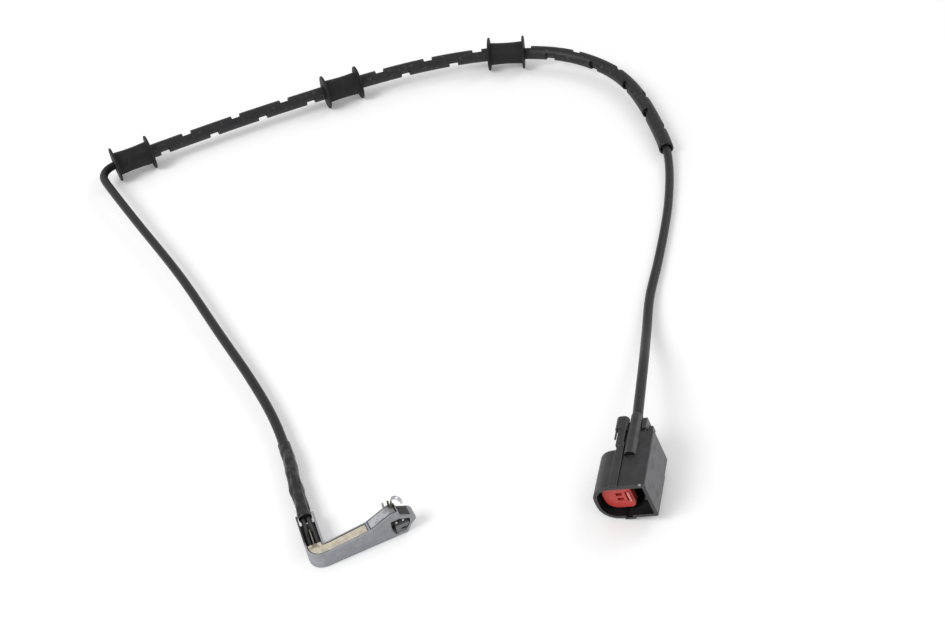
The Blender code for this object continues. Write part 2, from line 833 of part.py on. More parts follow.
window_left = HEAD_LENGTH - WINDOW_LEFT_SETBACK
window_right = HEAD_LENGTH - WINDOW_RIGHT_SETBACK
window_top = HEAD_HEIGHT - WINDOW_TOP_DROP
window_outline = [
    (window_left + WINDOW_LEFT_SLANT_WIDTH, WINDOW_BOTTOM),
    (window_right - WINDOW_SLANT_WIDTH, WINDOW_BOTTOM),
    (window_right, WINDOW_BOTTOM + WINDOW_SLANT_HEIGHT),
    (window_right, window_top - WINDOW_TOP_SLANT_HEIGHT),
    (window_right - WINDOW_TOP_SLANT_WIDTH, window_top),
    (window_left, window_top),
    (window_left, WINDOW_BOTTOM + WINDOW_LEFT_SLANT_HEIGHT),
]
window_shape = prism(window_outline, -CUTTER_REACH, WINDOW_DEPTH, side_view)
apply_tool(sensor_housing, tool_from("window_space", placed(window_shape, head_place)))


def nose_slope_slab(start, stop, below, above):
    """Outline of a slab that follows the sloping top of the nose."""
    first = line_height(HEAD_TOP_LINE, start)
    last = line_height(HEAD_TOP_LINE, stop)
    return [
        (start, first - below),
        (stop, last - below),
        (stop, last + above),
        (start, first + above),
    ]


tip_start = HEAD_LENGTH - TIP_START_SETBACK
pocket_outline = nose_slope_slab(
    tip_start - SEAT_GAP, tip_start + TIP_LENGTH + SEAT_GAP, TIP_DEPTH + SEAT_GAP, CUTTER_REACH
)
pocket_shape = prism(pocket_outline, TIP_SIDE_WALL, ARM_WIDTH - TIP_SIDE_WALL, side_view)
apply_tool(sensor_housing, tool_from("tip_pocket", placed(pocket_shape, head_place)))

# The recess that the spring clip lies in follows the ramp and the flat top.
ramp_rise = HEAD_HEIGHT - ARM_RIM_AT_RAMP
ramp_angle = atan2(ramp_rise, ramp_end - RAMP_START)
ramp_along = Vector((cos(ramp_angle), sin(ramp_angle)))
ramp_normal = Vector((-sin(ramp_angle), cos(ramp_angle)))


def ramp_point(along, above):
    return Vector((RAMP_START, ARM_RIM_AT_RAMP)) + ramp_along * along + ramp_normal * above


def ramp_knee(above):
    """Where the line at this height above the ramp meets the one above the flat top."""
    along = (HEAD_HEIGHT + above - ramp_point(0.0, above).y) / ramp_along.y
    return ramp_point(along, above)


clip_slit_place = HEAD_LENGTH - CLIP_SLIT_SETBACK
slit_right = clip_slit_place + CLIP_SLIT_WIDTH / 2
slit_left = clip_slit_place - CLIP_SLIT_WIDTH / 2
recess_outline = [
    tuple(ramp_point(RECESS_START, -RECESS_DEPTH)),
    tuple(ramp_knee(-RECESS_DEPTH)),
    (slit_left, HEAD_HEIGHT - RECESS_DEPTH),
    (slit_left, HEAD_HEIGHT - CLIP_SLIT_DEPTH),
    (slit_right, HEAD_HEIGHT - CLIP_SLIT_DEPTH),
    (slit_right, HEAD_HEIGHT + CUTTER_REACH),
    tuple(ramp_point(RECESS_START, CUTTER_REACH)),
]
recess_shape = prism(recess_outline, RECESS_SIDE_WALL, ARM_WIDTH - RECESS_SIDE_WALL, side_view)
apply_tool(sensor_housing, tool_from("clip_recess", placed(recess_shape, head_place)))

potting_inset = TROUGH_WALL + SEAT_GAP
potting_shape = prism(
    head_outline(
        potting_inset,
        TROUGH_END - SEAT_GAP,
        POTTING_LEG_REACH,
        CORNER_RADIUS - potting_inset,
        INNER_CORNER_RADIUS,
    ),
    TROUGH_FLOOR + SEAT_GAP,
    HEAD_HEIGHT,
    flat_plan,
)
bmesh.ops.bisect_plane(
    potting_shape,
    geom=potting_shape.verts[:] + potting_shape.edges[:] + potting_shape.faces[:],
    plane_co=(ARM_SLOPE_START, 0.0, 0.0),
    plane_no=(1.0, 0.0, 0.0),
)
for corner in potting_shape.verts:
    if corner.co.z > HEAD_HEIGHT / 2:
        corner.co.z = line_height(HEAD_TOP_LINE, corner.co.x) - POTTING_DROP
piece_from(
    "potting_compound",
    placed(potting_shape, head_place),
    finish("epoxy", (0.52, 0.45, 0.36), 0.5),
    radians(30.0),
)

# The two cores leave the cable side by side, part on both sides of the rib and
# run down the leg into the epoxy.
core_aside = (CORE_DIAMETER + SEAT_GAP) / 2
core_spread = (CORE_DIAMETER + CORE_RIB_WIDTH) / 2 + SEAT_GAP
core_material_names = {"core_wire_a": -1.0, "core_wire_b": 1.0}
for core_name, side in core_material_names.items():
    core_points = []
    for mark in (CABLE_START - SEAT_GAP, 0.4 * MM):
        _, left, _ = route.axes(mark)
        core_points.append(route.at(mark) - left * side * core_aside)
    for along in (CORE_RIB_END + SEAT_GAP, POTTING_LEG_REACH + SEAT_GAP):
        plan = leg_point(LEG_WIDTH / 2 + side * core_spread, along)
        core_points.append(head_place @ Vector((plan.x, plan.y, CORE_HEIGHT)))
    core_material = finish(core_name + "_insulation", (0.05, 0.05, 0.05), 0.4)
    wire(core_name, core_points, CORE_DIAMETER, core_material, 2)

carrier_left = window_left + CARRIER_LEFT_MARGIN
carrier_low = WINDOW_BOTTOM + SEAT_GAP
slant_share = WINDOW_SLANT_WIDTH / WINDOW_SLANT_HEIGHT
carrier_foot = window_right - WINDOW_SLANT_WIDTH - 0.65 * SEAT_GAP
carrier_right = window_right - 1.65 * SEAT_GAP
carrier_knee = carrier_low + (carrier_right - carrier_foot) / slant_share
carrier_outline = [
    (carrier_left, carrier_low),
    (carrier_foot, carrier_low),
    (carrier_right, carrier_knee),
    (carrier_right, CARRIER_TOP),
    (carrier_left, CARRIER_TOP),
]
element_carrier = piece_from(
    "element_carrier",
    placed(
        prism(carrier_outline, CARRIER_SETBACK, WINDOW_DEPTH - SEAT_GAP, side_view),
        head_place,
    ),
    finish("carrier_plastic", (0.22, 0.22, 0.23), 0.5),
)
carrier_middle = (carrier_left + carrier_right) / 2 - CARRIER_SLOT_ASIDE
carrier_slot = block(
    carrier_middle - CARRIER_SLOT_WIDTH / 2,
    carrier_middle + CARRIER_SLOT_WIDTH / 2,
    -CUTTER_REACH,
    CARRIER_SLOT_DEPTH,
    carrier_low + CARRIER_SLOT_RISE,
    carrier_low + CARRIER_SLOT_RISE + CARRIER_SLOT_HEIGHT,
)
apply_tool(element_carrier, tool_from("carrier_slot", placed(carrier_slot, head_place)))

# The wire is bent to a U in the window, with its two ends towards the front.
loop_left = HEAD_LENGTH - LOOP_LEFT_SETBACK
loop_right = HEAD_LENGTH - LOOP_RIGHT_SETBACK
loop_back = WINDOW_DEPTH - SEAT_GAP - LOOP_WIRE_DIAMETER / 2
loop_plan = [(loop_left, LOOP_SETBACK), (loop_left, loop_back - LOOP_BEND)]
for step in (1, 2, 3):
    angle = pi - step * pi / 6
    loop_plan.append(
        (
            loop_left + LOOP_BEND + LOOP_BEND * cos(angle),
            loop_back - LOOP_BEND + LOOP_BEND * sin(angle),
        )
    )
loop_plan += [(loop_left + loop_right - a, b) for a, b in reversed(loop_plan)]
wire(
    "wear_loop",
    [head_place @ Vector((a, b, LOOP_HEIGHT)) for a, b in loop_plan],
    LOOP_WIRE_DIAMETER,
    finish("loop_metal", (0.75, 0.74, 0.72), 0.3, 1.0),
    2,
)

tip_wall = TIP_SIDE_WALL + SEAT_GAP
tip_outline = nose_slope_slab(tip_start, tip_start + TIP_LENGTH, TIP_DEPTH, TIP_PROUD)
tip_shape = prism(tip_outline, tip_wall, ARM_WIDTH - tip_wall, side_view)
piece_from(
    "sensing_tip",
    placed(softened(tip_shape, TIP_EDGE), head_place),
    finish("wear_block", (0.03, 0.03, 0.03), 0.5),
)


# Spring clip


strap_level = CLIP_PROUD - CLIP_THICKNESS / 2
strap_knee = ramp_knee(strap_level)
strap_line = [
    tuple(ramp_point(RECESS_START + CLIP_START, strap_level)),
    tuple(strap_knee),
    (clip_slit_place - CLIP_THICKNESS, HEAD_HEIGHT + strap_level),
    (clip_slit_place, HEAD_HEIGHT + strap_level - CLIP_THICKNESS),
    (clip_slit_place, HEAD_HEIGHT - CLIP_TUCK_DEPTH),
]
strap_width = ARM_WIDTH - 2 * (RECESS_SIDE_WALL + SEAT_GAP)


def strap_space(a, b, c):
    return head_place @ Vector((a, ARM_WIDTH / 2 + c, b))


clip_metal = finish("clip_steel", (0.62, 0.61, 0.58), 0.3, 1.0)
spring_clip = piece_from(
    "spring_clip",
    bent_strip(strap_line, CLIP_THICKNESS, strap_width, strap_space),
    clip_metal,
    radians(30.0),
)

prong_back = ARM_WIDTH / 2 + strap_width / 2
prong_shapes = []
for prong_setback in PRONG_SETBACKS:
    prong_place = HEAD_LENGTH - prong_setback
    prong_root = min(HEAD_HEIGHT, line_height(HEAD_TOP_LINE, prong_place)) - PRONG_ROOT
    prong_shapes.append(
        block(
            prong_place - PRONG_WIDTH / 2,
            prong_place + PRONG_WIDTH / 2,
            prong_back - CLIP_THICKNESS,
            prong_back,
            prong_root,
            HEAD_HEIGHT + PRONG_RISE,
        )
    )
finger_along = Vector((cos(FINGER_TURN), sin(FINGER_TURN), 0.0))
finger_side = Vector((-sin(FINGER_TURN), cos(FINGER_TURN), 0.0))


def finger_space(a, b, c):
    foot = Vector((HEAD_LENGTH - FINGER_SETBACK, FINGER_ASIDE, HEAD_HEIGHT))
    return foot + finger_along * a + finger_side * c + Vector((0.0, 0.0, b))


prong_shapes.append(bent_strip(FINGER_LINE, CLIP_THICKNESS, FINGER_WIDTH, finger_space))
apply_tool(
    spring_clip,
    tool_from("clip_prongs", placed(merged(prong_shapes), head_place)),
    "UNION",
)


# Connector


half_height = CONNECTOR_HEIGHT / 2
rest_height = (
    (half_height - ROUND_SIDE_RADIUS) * cos(CONNECTOR_ROLL)
    + (CONNECTOR_LEFT + ROUND_SIDE_RADIUS) * sin(CONNECTOR_ROLL)
    + ROUND_SIDE_RADIUS
)
connector_origin = Vector((CONNECTOR_PLACE[0], CONNECTOR_PLACE[1], rest_height)) + shift
connector_place = (
    Matrix.Translation(connector_origin)
    @ Matrix.Rotation(CONNECTOR_YAW, 4, "Z")
    @ Matrix.Rotation(CONNECTOR_ROLL, 4, "Y")
)


def rounded_box(left, right, low, high, round_radius, flat_radius, foot_radius):
    """Cross-section with a round left side, a flat right side and its lower right corner."""
    return filleted(
        [
            (left, low, round_radius),
            (right, low, foot_radius),
            (right, high, flat_radius),
            (left, high, round_radius),
        ],
        5,
    )


# The key under the mouth reaches down as far as the round side does.
key_left = KEYWAY_CENTRE - KEYWAY_WIDTH / 2
key_right = KEYWAY_CENTRE + KEYWAY_WIDTH / 2
key_drop = (rest_height + (KEYWAY_WALL - key_left) * sin(CONNECTOR_ROLL)) / cos(CONNECTOR_ROLL)
shroud_outline = filleted(
    [
        (CONNECTOR_LEFT, -half_height, ROUND_SIDE_RADIUS),
        (key_left - KEYWAY_WALL, -half_height, 0.0),
        (key_left - KEYWAY_WALL, -key_drop, 0.0),
        (key_right + KEYWAY_WALL, -key_drop, 0.0),
        (key_right + KEYWAY_WALL, -half_height, 0.0),
        (CONNECTOR_RIGHT, -half_height, FLAT_SIDE_RADIUS),
        (CONNECTOR_RIGHT, half_height, FLAT_SIDE_RADIUS),
        (CONNECTOR_LEFT, half_height, ROUND_SIDE_RADIUS),
    ],
    5,
)
connector_housing = piece_from(
    "connector_housing",
    placed(
        softened(prism(shroud_outline, 0.0, SHROUD_LENGTH, cross_section), HOUSING_EDGE),
        connector_place,
    ),
    finish("connector_plastic", (0.035, 0.034, 0.036), 0.4),
    radians(35.0),
)


def join_block(name, left, right, front, back, low, high):
    shape = softened(block(left, right, front, back, low, high), HOUSING_EDGE)
    apply_tool(connector_housing, tool_from(name, placed(shape, connector_place)), "UNION")


body_outline = rounded_box(
    BODY_LEFT,
    CONNECTOR_RIGHT - BODY_STEP,
    -half_height + BODY_STEP,
    half_height - BODY_STEP,
    FLAT_SIDE_RADIUS,
    FLAT_SIDE_RADIUS,
    FLAT_SIDE_RADIUS,
)
body_shape = softened(
    prism(body_outline, SHROUD_LENGTH - BODY_JOIN, BODY_END, cross_section), HOUSING_EDGE
)
apply_tool(connector_housing, tool_from("rear_body", placed(body_shape, connector_place)), "UNION")
join_block(
    "rear_block",
    REAR_BLOCK_LEFT,
    REAR_BLOCK_RIGHT,
    BODY_END - BODY_JOIN,
    REAR_BLOCK_END,
    REAR_BLOCK_LOW,
    half_height - REAR_BLOCK_DROP,
)
join_block(
    "rear_ear",
    EAR_LEFT,
    REAR_BLOCK_RIGHT + BODY_STEP,
    EAR_START,
    EAR_END,
    half_height / 2,
    half_height + EAR_RISE,
)
join_block(
    "rear_tab",
    REAR_TAB_LEFT,
    REAR_TAB_RIGHT,
    BODY_END - BODY_JOIN,
    REAR_TAB_END,
    REAR_TAB_LOW,
    REAR_TAB_HIGH,
)
join_block(
    "latch_rail",
    RAIL_LEFT,
    RAIL_RIGHT,
    RAIL_START,
    RAIL_END,
    half_height - BODY_JOIN / 2,
    half_height + RAIL_HEIGHT,
)
join_block(
    "beam_root",
    BEAM_LEFT - BEAM_ROOT_MARGIN / 2,
    BEAM_RIGHT + BEAM_ROOT_MARGIN,
    BEAM_ROOT_START,
    BEAM_ROOT_END,
    half_height - 0.4 * BODY_JOIN,
    half_height + BEAM_LIFT + BEAM_THICKNESS - BEAM_ROOT_DROP,
)
join_block(
    "latch_beam",
    BEAM_LEFT,
    BEAM_RIGHT,
    BEAM_ROOT_START + HOUSING_EDGE,
    PAD_START + BODY_JOIN / 2,
    half_height + BEAM_LIFT,
    half_height + BEAM_LIFT + BEAM_THICKNESS,
)
join_block(
    "latch_lever",
    LEVER_LEFT,
    LEVER_RIGHT,
    LEVER_START,
    PAD_START + BODY_JOIN / 2,
    half_height + LEVER_LIFT,
    half_height + LEVER_RISE,
)
pad_outline = filleted(
    [
        (PAD_LEFT, half_height - PAD_DROP, 0.3 * PAD_RADIUS),
        (PAD_RIGHT, half_height - PAD_DROP, 0.3 * PAD_RADIUS),
        (PAD_RIGHT, half_height + PAD_RISE, PAD_RADIUS),
        (PAD_LEFT, half_height + PAD_RISE, PAD_RADIUS),
    ]
)
pad_shape = softened(prism(pad_outline, PAD_START, PAD_END, cross_section), HOUSING_EDGE)
apply_tool(connector_housing, tool_from("thumb_pad", placed(pad_shape, connector_place)), "UNION")

boss_outline = []
for index in range(BOSS_SIDES):
    angle = 2 * pi * (index + 0.5) / BOSS_SIDES
    boss_outline.append(
        (
            BOSS_CENTRE + BOSS_DIAMETER / 2 * cos(angle),
            half_height + BOSS_DIAMETER / 2 * sin(angle),
        )
    )
boss_shape = softened(
    prism(boss_outline, BOSS_START, BOSS_END, cross_section),
    HOUSING_EDGE,
)
apply_tool(connector_housing, tool_from("wire_boss", placed(boss_shape, connector_place)), "UNION")

mouth_outline = filleted(
    [
        (CONNECTOR_LEFT + SHROUD_WALL, -half_height + SHROUD_WALL, ROUND_SIDE_RADIUS - SHROUD_WALL),
        (key_left, -half_height + SHROUD_WALL, 0.0),
        (key_left, -half_height + SHROUD_WALL - KEYWAY_DEPTH, 0.0),
        (key_right, -half_height + SHROUD_WALL - KEYWAY_DEPTH, 0.0),
        (key_right, -half_height + SHROUD_WALL, 0.0),
        (CONNECTOR_RIGHT - SHROUD_WALL, -half_height + SHROUD_WALL, MOUTH_FLAT_SIDE_RADIUS),
        (CONNECTOR_RIGHT - SHROUD_WALL, SIDE_RIB_LOW, 0.0),
        (CONNECTOR_RIGHT - SHROUD_WALL - SIDE_RIB_DEPTH, SIDE_RIB_LOW, 0.0),
        (CONNECTOR_RIGHT - SHROUD_WALL - SIDE_RIB_DEPTH, SIDE_RIB_HIGH, 0.0),
        (CONNECTOR_RIGHT - SHROUD_WALL, SIDE_RIB_HIGH, 0.0),
        (CONNECTOR_RIGHT - SHROUD_WALL, half_height - SHROUD_WALL, MOUTH_FLAT_SIDE_RADIUS),
        (CONNECTOR_LEFT + SHROUD_WALL, half_height - SHROUD_WALL, ROUND_SIDE_RADIUS - SHROUD_WALL),
    ],
    5,
)
mouth_shape = prism(mouth_outline, -MM, MOUTH_DEPTH, cross_section)
apply_tool(connector_housing, tool_from("mouth_space", placed(mouth_shape, connector_place)))


# Inside the mouth


def tower_outline(inset):
    return rounded_box(
        TOWER_LEFT + inset,
        TOWER_RIGHT - inset,
        TOWER_BOTTOM + inset,
        TOWER_TOP - inset,
        TOWER_ROUND - inset,
        max(0.2 * MM, TOWER_CORNER - inset),
        TOWER_LOWER_CORNER - inset,
    )


terminal_heights = {
    "terminal_upper": TERMINAL_CENTRE_HEIGHT + TERMINAL_PITCH / 2,
    "terminal_lower": TERMINAL_CENTRE_HEIGHT - TERMINAL_PITCH / 2,
}


def terminal_box(height, size, front, back):
    half = size / 2
    return block(
        TERMINAL_PLACE - half,
        TERMINAL_PLACE + half,
        front,
        back,
        height - half,
        height + half,
    )


lock_back = LOCK_SETBACK + LOCK_LENGTH
terminal_lock = piece_from(
    "terminal_lock",
    placed(
        softened(prism(tower_outline(0.0), LOCK_SETBACK, lock_back, cross_section), HOUSING_EDGE),
        connector_place,
    ),
    finish("lock_plastic", (0.45, 0.115, 0.09), 0.45),
    radians(35.0),
)
lock_slots = []
for height in terminal_heights.values():
    lock_slots.append(
        block(
            TERMINAL_PLACE - LOCK_SLOT_WIDTH / 2,
            TERMINAL_PLACE + LOCK_SLOT_WIDTH / 2,
            LOCK_SETBACK - MM,
            lock_back + MM,
            height - LOCK_SLOT_HEIGHT / 2,
            height + LOCK_SLOT_HEIGHT / 2,
        )
    )
lock_slots.append(
    block(
        LOCK_GROOVE_PLACE - LOCK_GROOVE_WIDTH / 2,
        LOCK_GROOVE_PLACE + LOCK_GROOVE_WIDTH / 2,
        LOCK_SETBACK - MM,
        LOCK_SETBACK + LOCK_GROOVE_DEPTH,
        LOCK_GROOVE_LOW,
        LOCK_GROOVE_HIGH,
    )
)
apply_tool(terminal_lock, tool_from("lock_slots", placed(merged(lock_slots), connector_place)))

tower_front = lock_back + SEAT_GAP
tower_back = MOUTH_DEPTH - SEAT_GAP
terminal_carrier = piece_from(
    "terminal_carrier",
    placed(prism(tower_outline(TOWER_INSET), tower_front, tower_back, cross_section), connector_place),
    finish("carrier_tower_plastic", (0.03, 0.03, 0.03), 0.5),
    radians(35.0),
)
terminal_front = tower_front + TERMINAL_SETBACK
terminal_back = tower_back - 2 * SEAT_GAP
cavities = []
for height in terminal_heights.values():
    cavities.append(
        terminal_box(height, TERMINAL_SIZE + 2 * SEAT_GAP, tower_front - MM, terminal_back + SEAT_GAP)
    )
apply_tool(terminal_carrier, tool_from("terminal_cavities", placed(merged(cavities), connector_place)))

for terminal_name, height in terminal_heights.items():
    terminal = piece_from(
        terminal_name,
        placed(terminal_box(height, TERMINAL_SIZE, terminal_front, terminal_back), connector_place),
        finish(terminal_name + "_metal", (0.62, 0.60, 0.55), 0.3, 1.0),
    )
    hollow = terminal_box(
        height,
        TERMINAL_SIZE - 2 * TERMINAL_WALL,
        terminal_front - MM,
        terminal_front + TERMINAL_MOUTH_DEPTH,
    )
    apply_tool(terminal, tool_from(terminal_name + "_hollow", placed(hollow, connector_place)))

# The seal sits on the tower, close to the back of the mouth.
seal_inner = tower_outline(TOWER_INSET - SEAT_GAP)
seal_outer = tower_outline(TOWER_INSET - SEAT_GAP - SEAL_THICKNESS)
seal_back = tower_back - SEAT_GAP
seal_front = seal_back - SEAL_LENGTH
perimeter_seal = piece_from(
    "perimeter_seal",
    placed(prism(seal_outer, seal_front, seal_back, cross_section), connector_place),
    finish("seal_rubber", (0.05, 0.05, 0.05), 0.6),
    radians(35.0),
)
seal_hole = prism(seal_inner, seal_front - MM, seal_back + MM, cross_section)
apply_tool(perimeter_seal, tool_from("seal_hole", placed(seal_hole, connector_place)))
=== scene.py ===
from math import atan2, ceil, cos, pi, radians, sin

import bmesh
import bpy
from mathutils import Matrix, Vector, noise


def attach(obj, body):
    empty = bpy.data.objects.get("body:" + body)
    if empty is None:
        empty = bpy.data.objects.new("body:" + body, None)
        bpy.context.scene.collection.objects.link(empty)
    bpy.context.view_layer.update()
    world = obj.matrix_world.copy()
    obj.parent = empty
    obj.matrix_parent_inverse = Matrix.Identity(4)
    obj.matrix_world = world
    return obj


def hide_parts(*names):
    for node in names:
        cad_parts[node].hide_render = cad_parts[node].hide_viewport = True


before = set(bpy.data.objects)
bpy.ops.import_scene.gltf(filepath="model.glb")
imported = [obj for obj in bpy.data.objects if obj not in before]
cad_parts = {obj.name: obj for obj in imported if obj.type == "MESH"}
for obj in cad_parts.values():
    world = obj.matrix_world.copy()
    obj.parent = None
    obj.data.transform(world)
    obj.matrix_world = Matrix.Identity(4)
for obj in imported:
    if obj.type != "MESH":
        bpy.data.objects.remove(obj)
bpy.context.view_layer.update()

MM = 0.001


# Camera. The photograph looks down at 43 degrees from in front of the head and
# the connector, and the camera is rolled 8 degrees with its right side down.

FRAME_WIDTH_PIXELS = 945.0
FOCAL_LENGTH_PIXELS = 1267.0
SENSOR_WIDTH = 36.0
camera_place = Vector((0.0329, -0.44009, 0.374))
camera_right = Vector((0.9903, -0.0949, -0.1018))
camera_up = Vector((0.1392, 0.6754, 0.7243))
camera_back = camera_right.cross(camera_up).normalized()
camera_up = camera_back.cross(camera_right).normalized()
camera_data = bpy.data.cameras.new("camera")
camera_data.sensor_width = SENSOR_WIDTH
camera_data.lens = FOCAL_LENGTH_PIXELS / FRAME_WIDTH_PIXELS * SENSOR_WIDTH
camera_data.clip_start = 0.01
camera = bpy.data.objects.new("camera", camera_data)
bpy.context.collection.objects.link(camera)
camera.matrix_world = Matrix.Translation(camera_place) @ Matrix(
    (camera_right, camera_up, camera_back)
).transposed().to_4x4()
bpy.context.scene.camera = camera
bpy.context.scene.view_settings.view_transform = "Standard"


# Floor and light. A white sheet under one broad lamp at the front left, with a
# weaker one behind on the right, and an even white surround.

FLOOR_REACH = 3.0
FLOOR_GAP = 0.02 * MM
FLOOR_GLOW = 0.16
SURROUND_STRENGTH = 0.62
floor_shape = bmesh.new()
bmesh.ops.create_grid(floor_shape, x_segments=1, y_segments=1, size=FLOOR_REACH)
floor_mesh = bpy.data.meshes.new("floor")
floor_shape.to_mesh(floor_mesh)
floor_shape.free()
floor = bpy.data.objects.new("floor", floor_mesh)
bpy.context.collection.objects.link(floor)
floor_mesh.transform(Matrix.Translation((0.0, 0.0, -FLOOR_GAP)))

floor_white = bpy.data.materials.new("white_sheet")
floor_white.use_nodes = True
floor_nodes = floor_white.node_tree.nodes
floor_links = floor_white.node_tree.links
floor_shader = floor_nodes["Principled BSDF"]
floor_shader.inputs["Base Color"].default_value = (0.90, 0.90, 0.90, 1.0)
floor_shader.inputs["Roughness"].default_value = 0.9
floor_shader.inputs["Specular IOR Level"].default_value = 0.0
floor_shader.inputs["Emission Color"].default_value = (1.0, 1.0, 1.0, 1.0)
light_path = floor_nodes.new("ShaderNodeLightPath")
seen = floor_nodes.new("ShaderNodeMath")
seen.operation = "MAXIMUM"
floor_links.new(light_path.outputs["Is Camera Ray"], seen.inputs[0])
floor_links.new(light_path.outputs["Is Glossy Ray"], seen.inputs[1])
seen_through = floor_nodes.new("ShaderNodeMath")
seen_through.operation = "MAXIMUM"
floor_links.new(seen.outputs[0], seen_through.inputs[0])
floor_links.new(light_path.outputs["Is Transmission Ray"], seen_through.inputs[1])
glow = floor_nodes.new("ShaderNodeMath")
glow.operation = "MULTIPLY"
glow.inputs[1].default_value = FLOOR_GLOW
floor_links.new(seen_through.outputs[0], glow.inputs[0])
floor_links.new(glow.outputs[0], floor_shader.inputs["Emission Strength"])
floor_mesh.materials.append(floor_white)

surround = bpy.data.worlds.new("surround")
surround.use_nodes = True
surround_nodes = surround.node_tree.nodes
surround_links = surround.node_tree.links
surround_nodes["Background"].inputs["Color"].default_value = (1.0, 1.0, 1.0, 1.0)
surround_path = surround_nodes.new("ShaderNodeLightPath")
surround_level = surround_nodes.new("ShaderNodeMath")
surround_level.operation = "MULTIPLY_ADD"
surround_level.inputs[1].default_value = 1.0 - SURROUND_STRENGTH
surround_level.inputs[2].default_value = SURROUND_STRENGTH
surround_links.new(surround_path.outputs["Is Camera Ray"], surround_level.inputs[0])
surround_links.new(surround_level.outputs[0], surround_nodes["Background"].inputs["Strength"])
bpy.context.scene.world = surround

# Each lamp's direction from the object, its distance, its width and its power.
LAMPS = {
    "key_lamp": ((-0.8, -0.5, 1.0), 1.3, 0.55, 7.5),
    "back_lamp": ((0.9, 0.5, 0.9), 1.3, 0.5, 2.0),
}
for lamp_name, (direction, distance, width, power) in LAMPS.items():
    lamp_data = bpy.data.lights.new(lamp_name, "AREA")
    lamp_data.shape = "SQUARE"
    lamp_data.size = width
    lamp_data.energy = power
    lamp = bpy.data.objects.new(lamp_name, lamp_data)
    bpy.context.collection.objects.link(lamp)
    outward = Vector(direction).normalized()
    lamp.matrix_world = Matrix.Translation(outward * distance) @ (
        outward.to_track_quat("Z", "Y").to_matrix().to_4x4()
    )


# Cable. A black PVC jacket over two cores, extruded in one length. It runs from
# the sleeve at the sensor head through the grommets and the conduit to the boss
# on the connector, and lies on the sheet where nothing holds it up.

LEAD_SHIFT = Vector((1.4 * MM, -0.09 * MM, 0.0))
CABLE_DIAMETER = 4.0 * MM
CABLE_START = 3.0 * MM
CABLE_STEP = 2.0 * MM
CABLE_SIDES = 32
STEPS_BETWEEN_POINTS = 24
HEADING_REACH = 0.6 * MM
CABLE_ROUTE = [
    (-39.61, -144.36, 5.0),
    (-40.49, -140.97, 5.0),
    (-41.64, -136.3, 5.0),
    (-44.9, -121.5, 4.9),
    (-48.5, -105.0, 4.9),
    (-53.9, -87.2, 5.0),
    (-63.6, -64.2, 5.4),
    (-77.3, -36.0, 6.0),
    (-97.9, 6.5, 7.0),
    (-122.9, 52.0, 8.1),
    (-136.2, 76.6, 8.65),
    (-141.1, 86.2, 8.75),
    (-142.4, 90.2, 8.75),
    (-142.0, 94.3, 8.75),
    (-139.9, 97.7, 8.75),
    (-136.4, 99.9, 8.75),
    (-128.8, 103.1, 8.75),
    (-103.0, 113.4, 8.75),
    (-70.0, 125.8, 8.75),
    (-38.0, 136.4, 8.75),
    (-20.5, 141.9, 8.75),
    (-3.5, 146.6, 8.75),
    (20.0, 151.6, 8.75),
    (45.0, 154.1, 8.75),
    (67.5, 153.0, 8.75),
    (87.0, 148.6, 8.75),
    (101.0, 142.4, 8.5),
    (112.4, 134.0, 7.8),
    (121.8, 122.8, 7.2),
    (127.9, 109.8, 6.6),
    (131.7, 95.0, 6.0),
    (134.5, 75.0, 5.1),
    (135.7, 55.0, 4.2),
    (134.3, 41.0, 3.0),
    (128.9, 17.0, 2.15),
    (123.3, -1.5, 2.1),
    (115.6, -24.0, 2.2),
    (107.5, -46.4, 2.9),
    (101.6, -69.5, 5.8),
    (95.6, -94.0, 12.9),
    (87.24, -125.91, 18.99),
]


def between(knots, share):
    """Smooth curve through four knots, spaced by the root of their distance."""
    times = [0.0]
    for first, second in zip(knots, knots[1:]):
        times.append(times[-1] + (second - first).length ** 0.5)
    time = times[1] + (times[2] - times[1]) * share

    def mix(first, second, start, stop):
        return first.lerp(second, (time - start) / (stop - start))

    sides = [mix(knots[i], knots[i + 1], times[i], times[i + 1]) for i in range(3)]
    early = mix(sides[0], sides[1], times[0], times[2])
    late = mix(sides[1], sides[2], times[1], times[3])
    return mix(early, late, times[1], times[2])


route_knots = [Vector(point) * MM + LEAD_SHIFT for point in CABLE_ROUTE]
route_ends = [
    route_knots[0] * 2 - route_knots[1],
    *route_knots,
    route_knots[-1] * 2 - route_knots[-2],
]
route_points = [route_knots[0]]
for knot in range(1, len(route_ends) - 2):
    for step in range(1, STEPS_BETWEEN_POINTS + 1):
        share = step / STEPS_BETWEEN_POINTS
        route_points.append(between(route_ends[knot - 1 : knot + 3], share))
route_lengths = [0.0]
for first_point, second_point in zip(route_points, route_points[1:]):
    route_lengths.append(route_lengths[-1] + (second_point - first_point).length)
ROUTE_LENGTH = route_lengths[-1]


def route_at(length):
    """Point on the route, at a length from its start."""
    length = max(0.0, min(ROUTE_LENGTH, length))
    low = 0
    high = len(route_lengths) - 1
    while high - low > 1:
        middle = (low + high) // 2
        if route_lengths[middle] <= length:
            low = middle
        else:
            high = middle
    share = (length - route_lengths[low]) / (route_lengths[high] - route_lengths[low])
    return route_points[low].lerp(route_points[high], share)


def route_frame(length):
    """Place on the route: X to its left, Y square to it, Z along it."""
    heading = route_at(length + HEADING_REACH) - route_at(length - HEADING_REACH)
    heading.normalize()
    left = Vector((0.0, 0.0, 1.0)).cross(heading).normalized()
    across = heading.cross(left)
    turned = Matrix((left, across, heading)).transposed().to_4x4()
    return Matrix.Translation(route_at(length)) @ turned


def spaced(start, end, step):
    """Even marks from start to end, no more than a step apart."""
    count = max(1, ceil((end - start) / step))
    return [start + (end - start) * index / count for index in range(count + 1)]


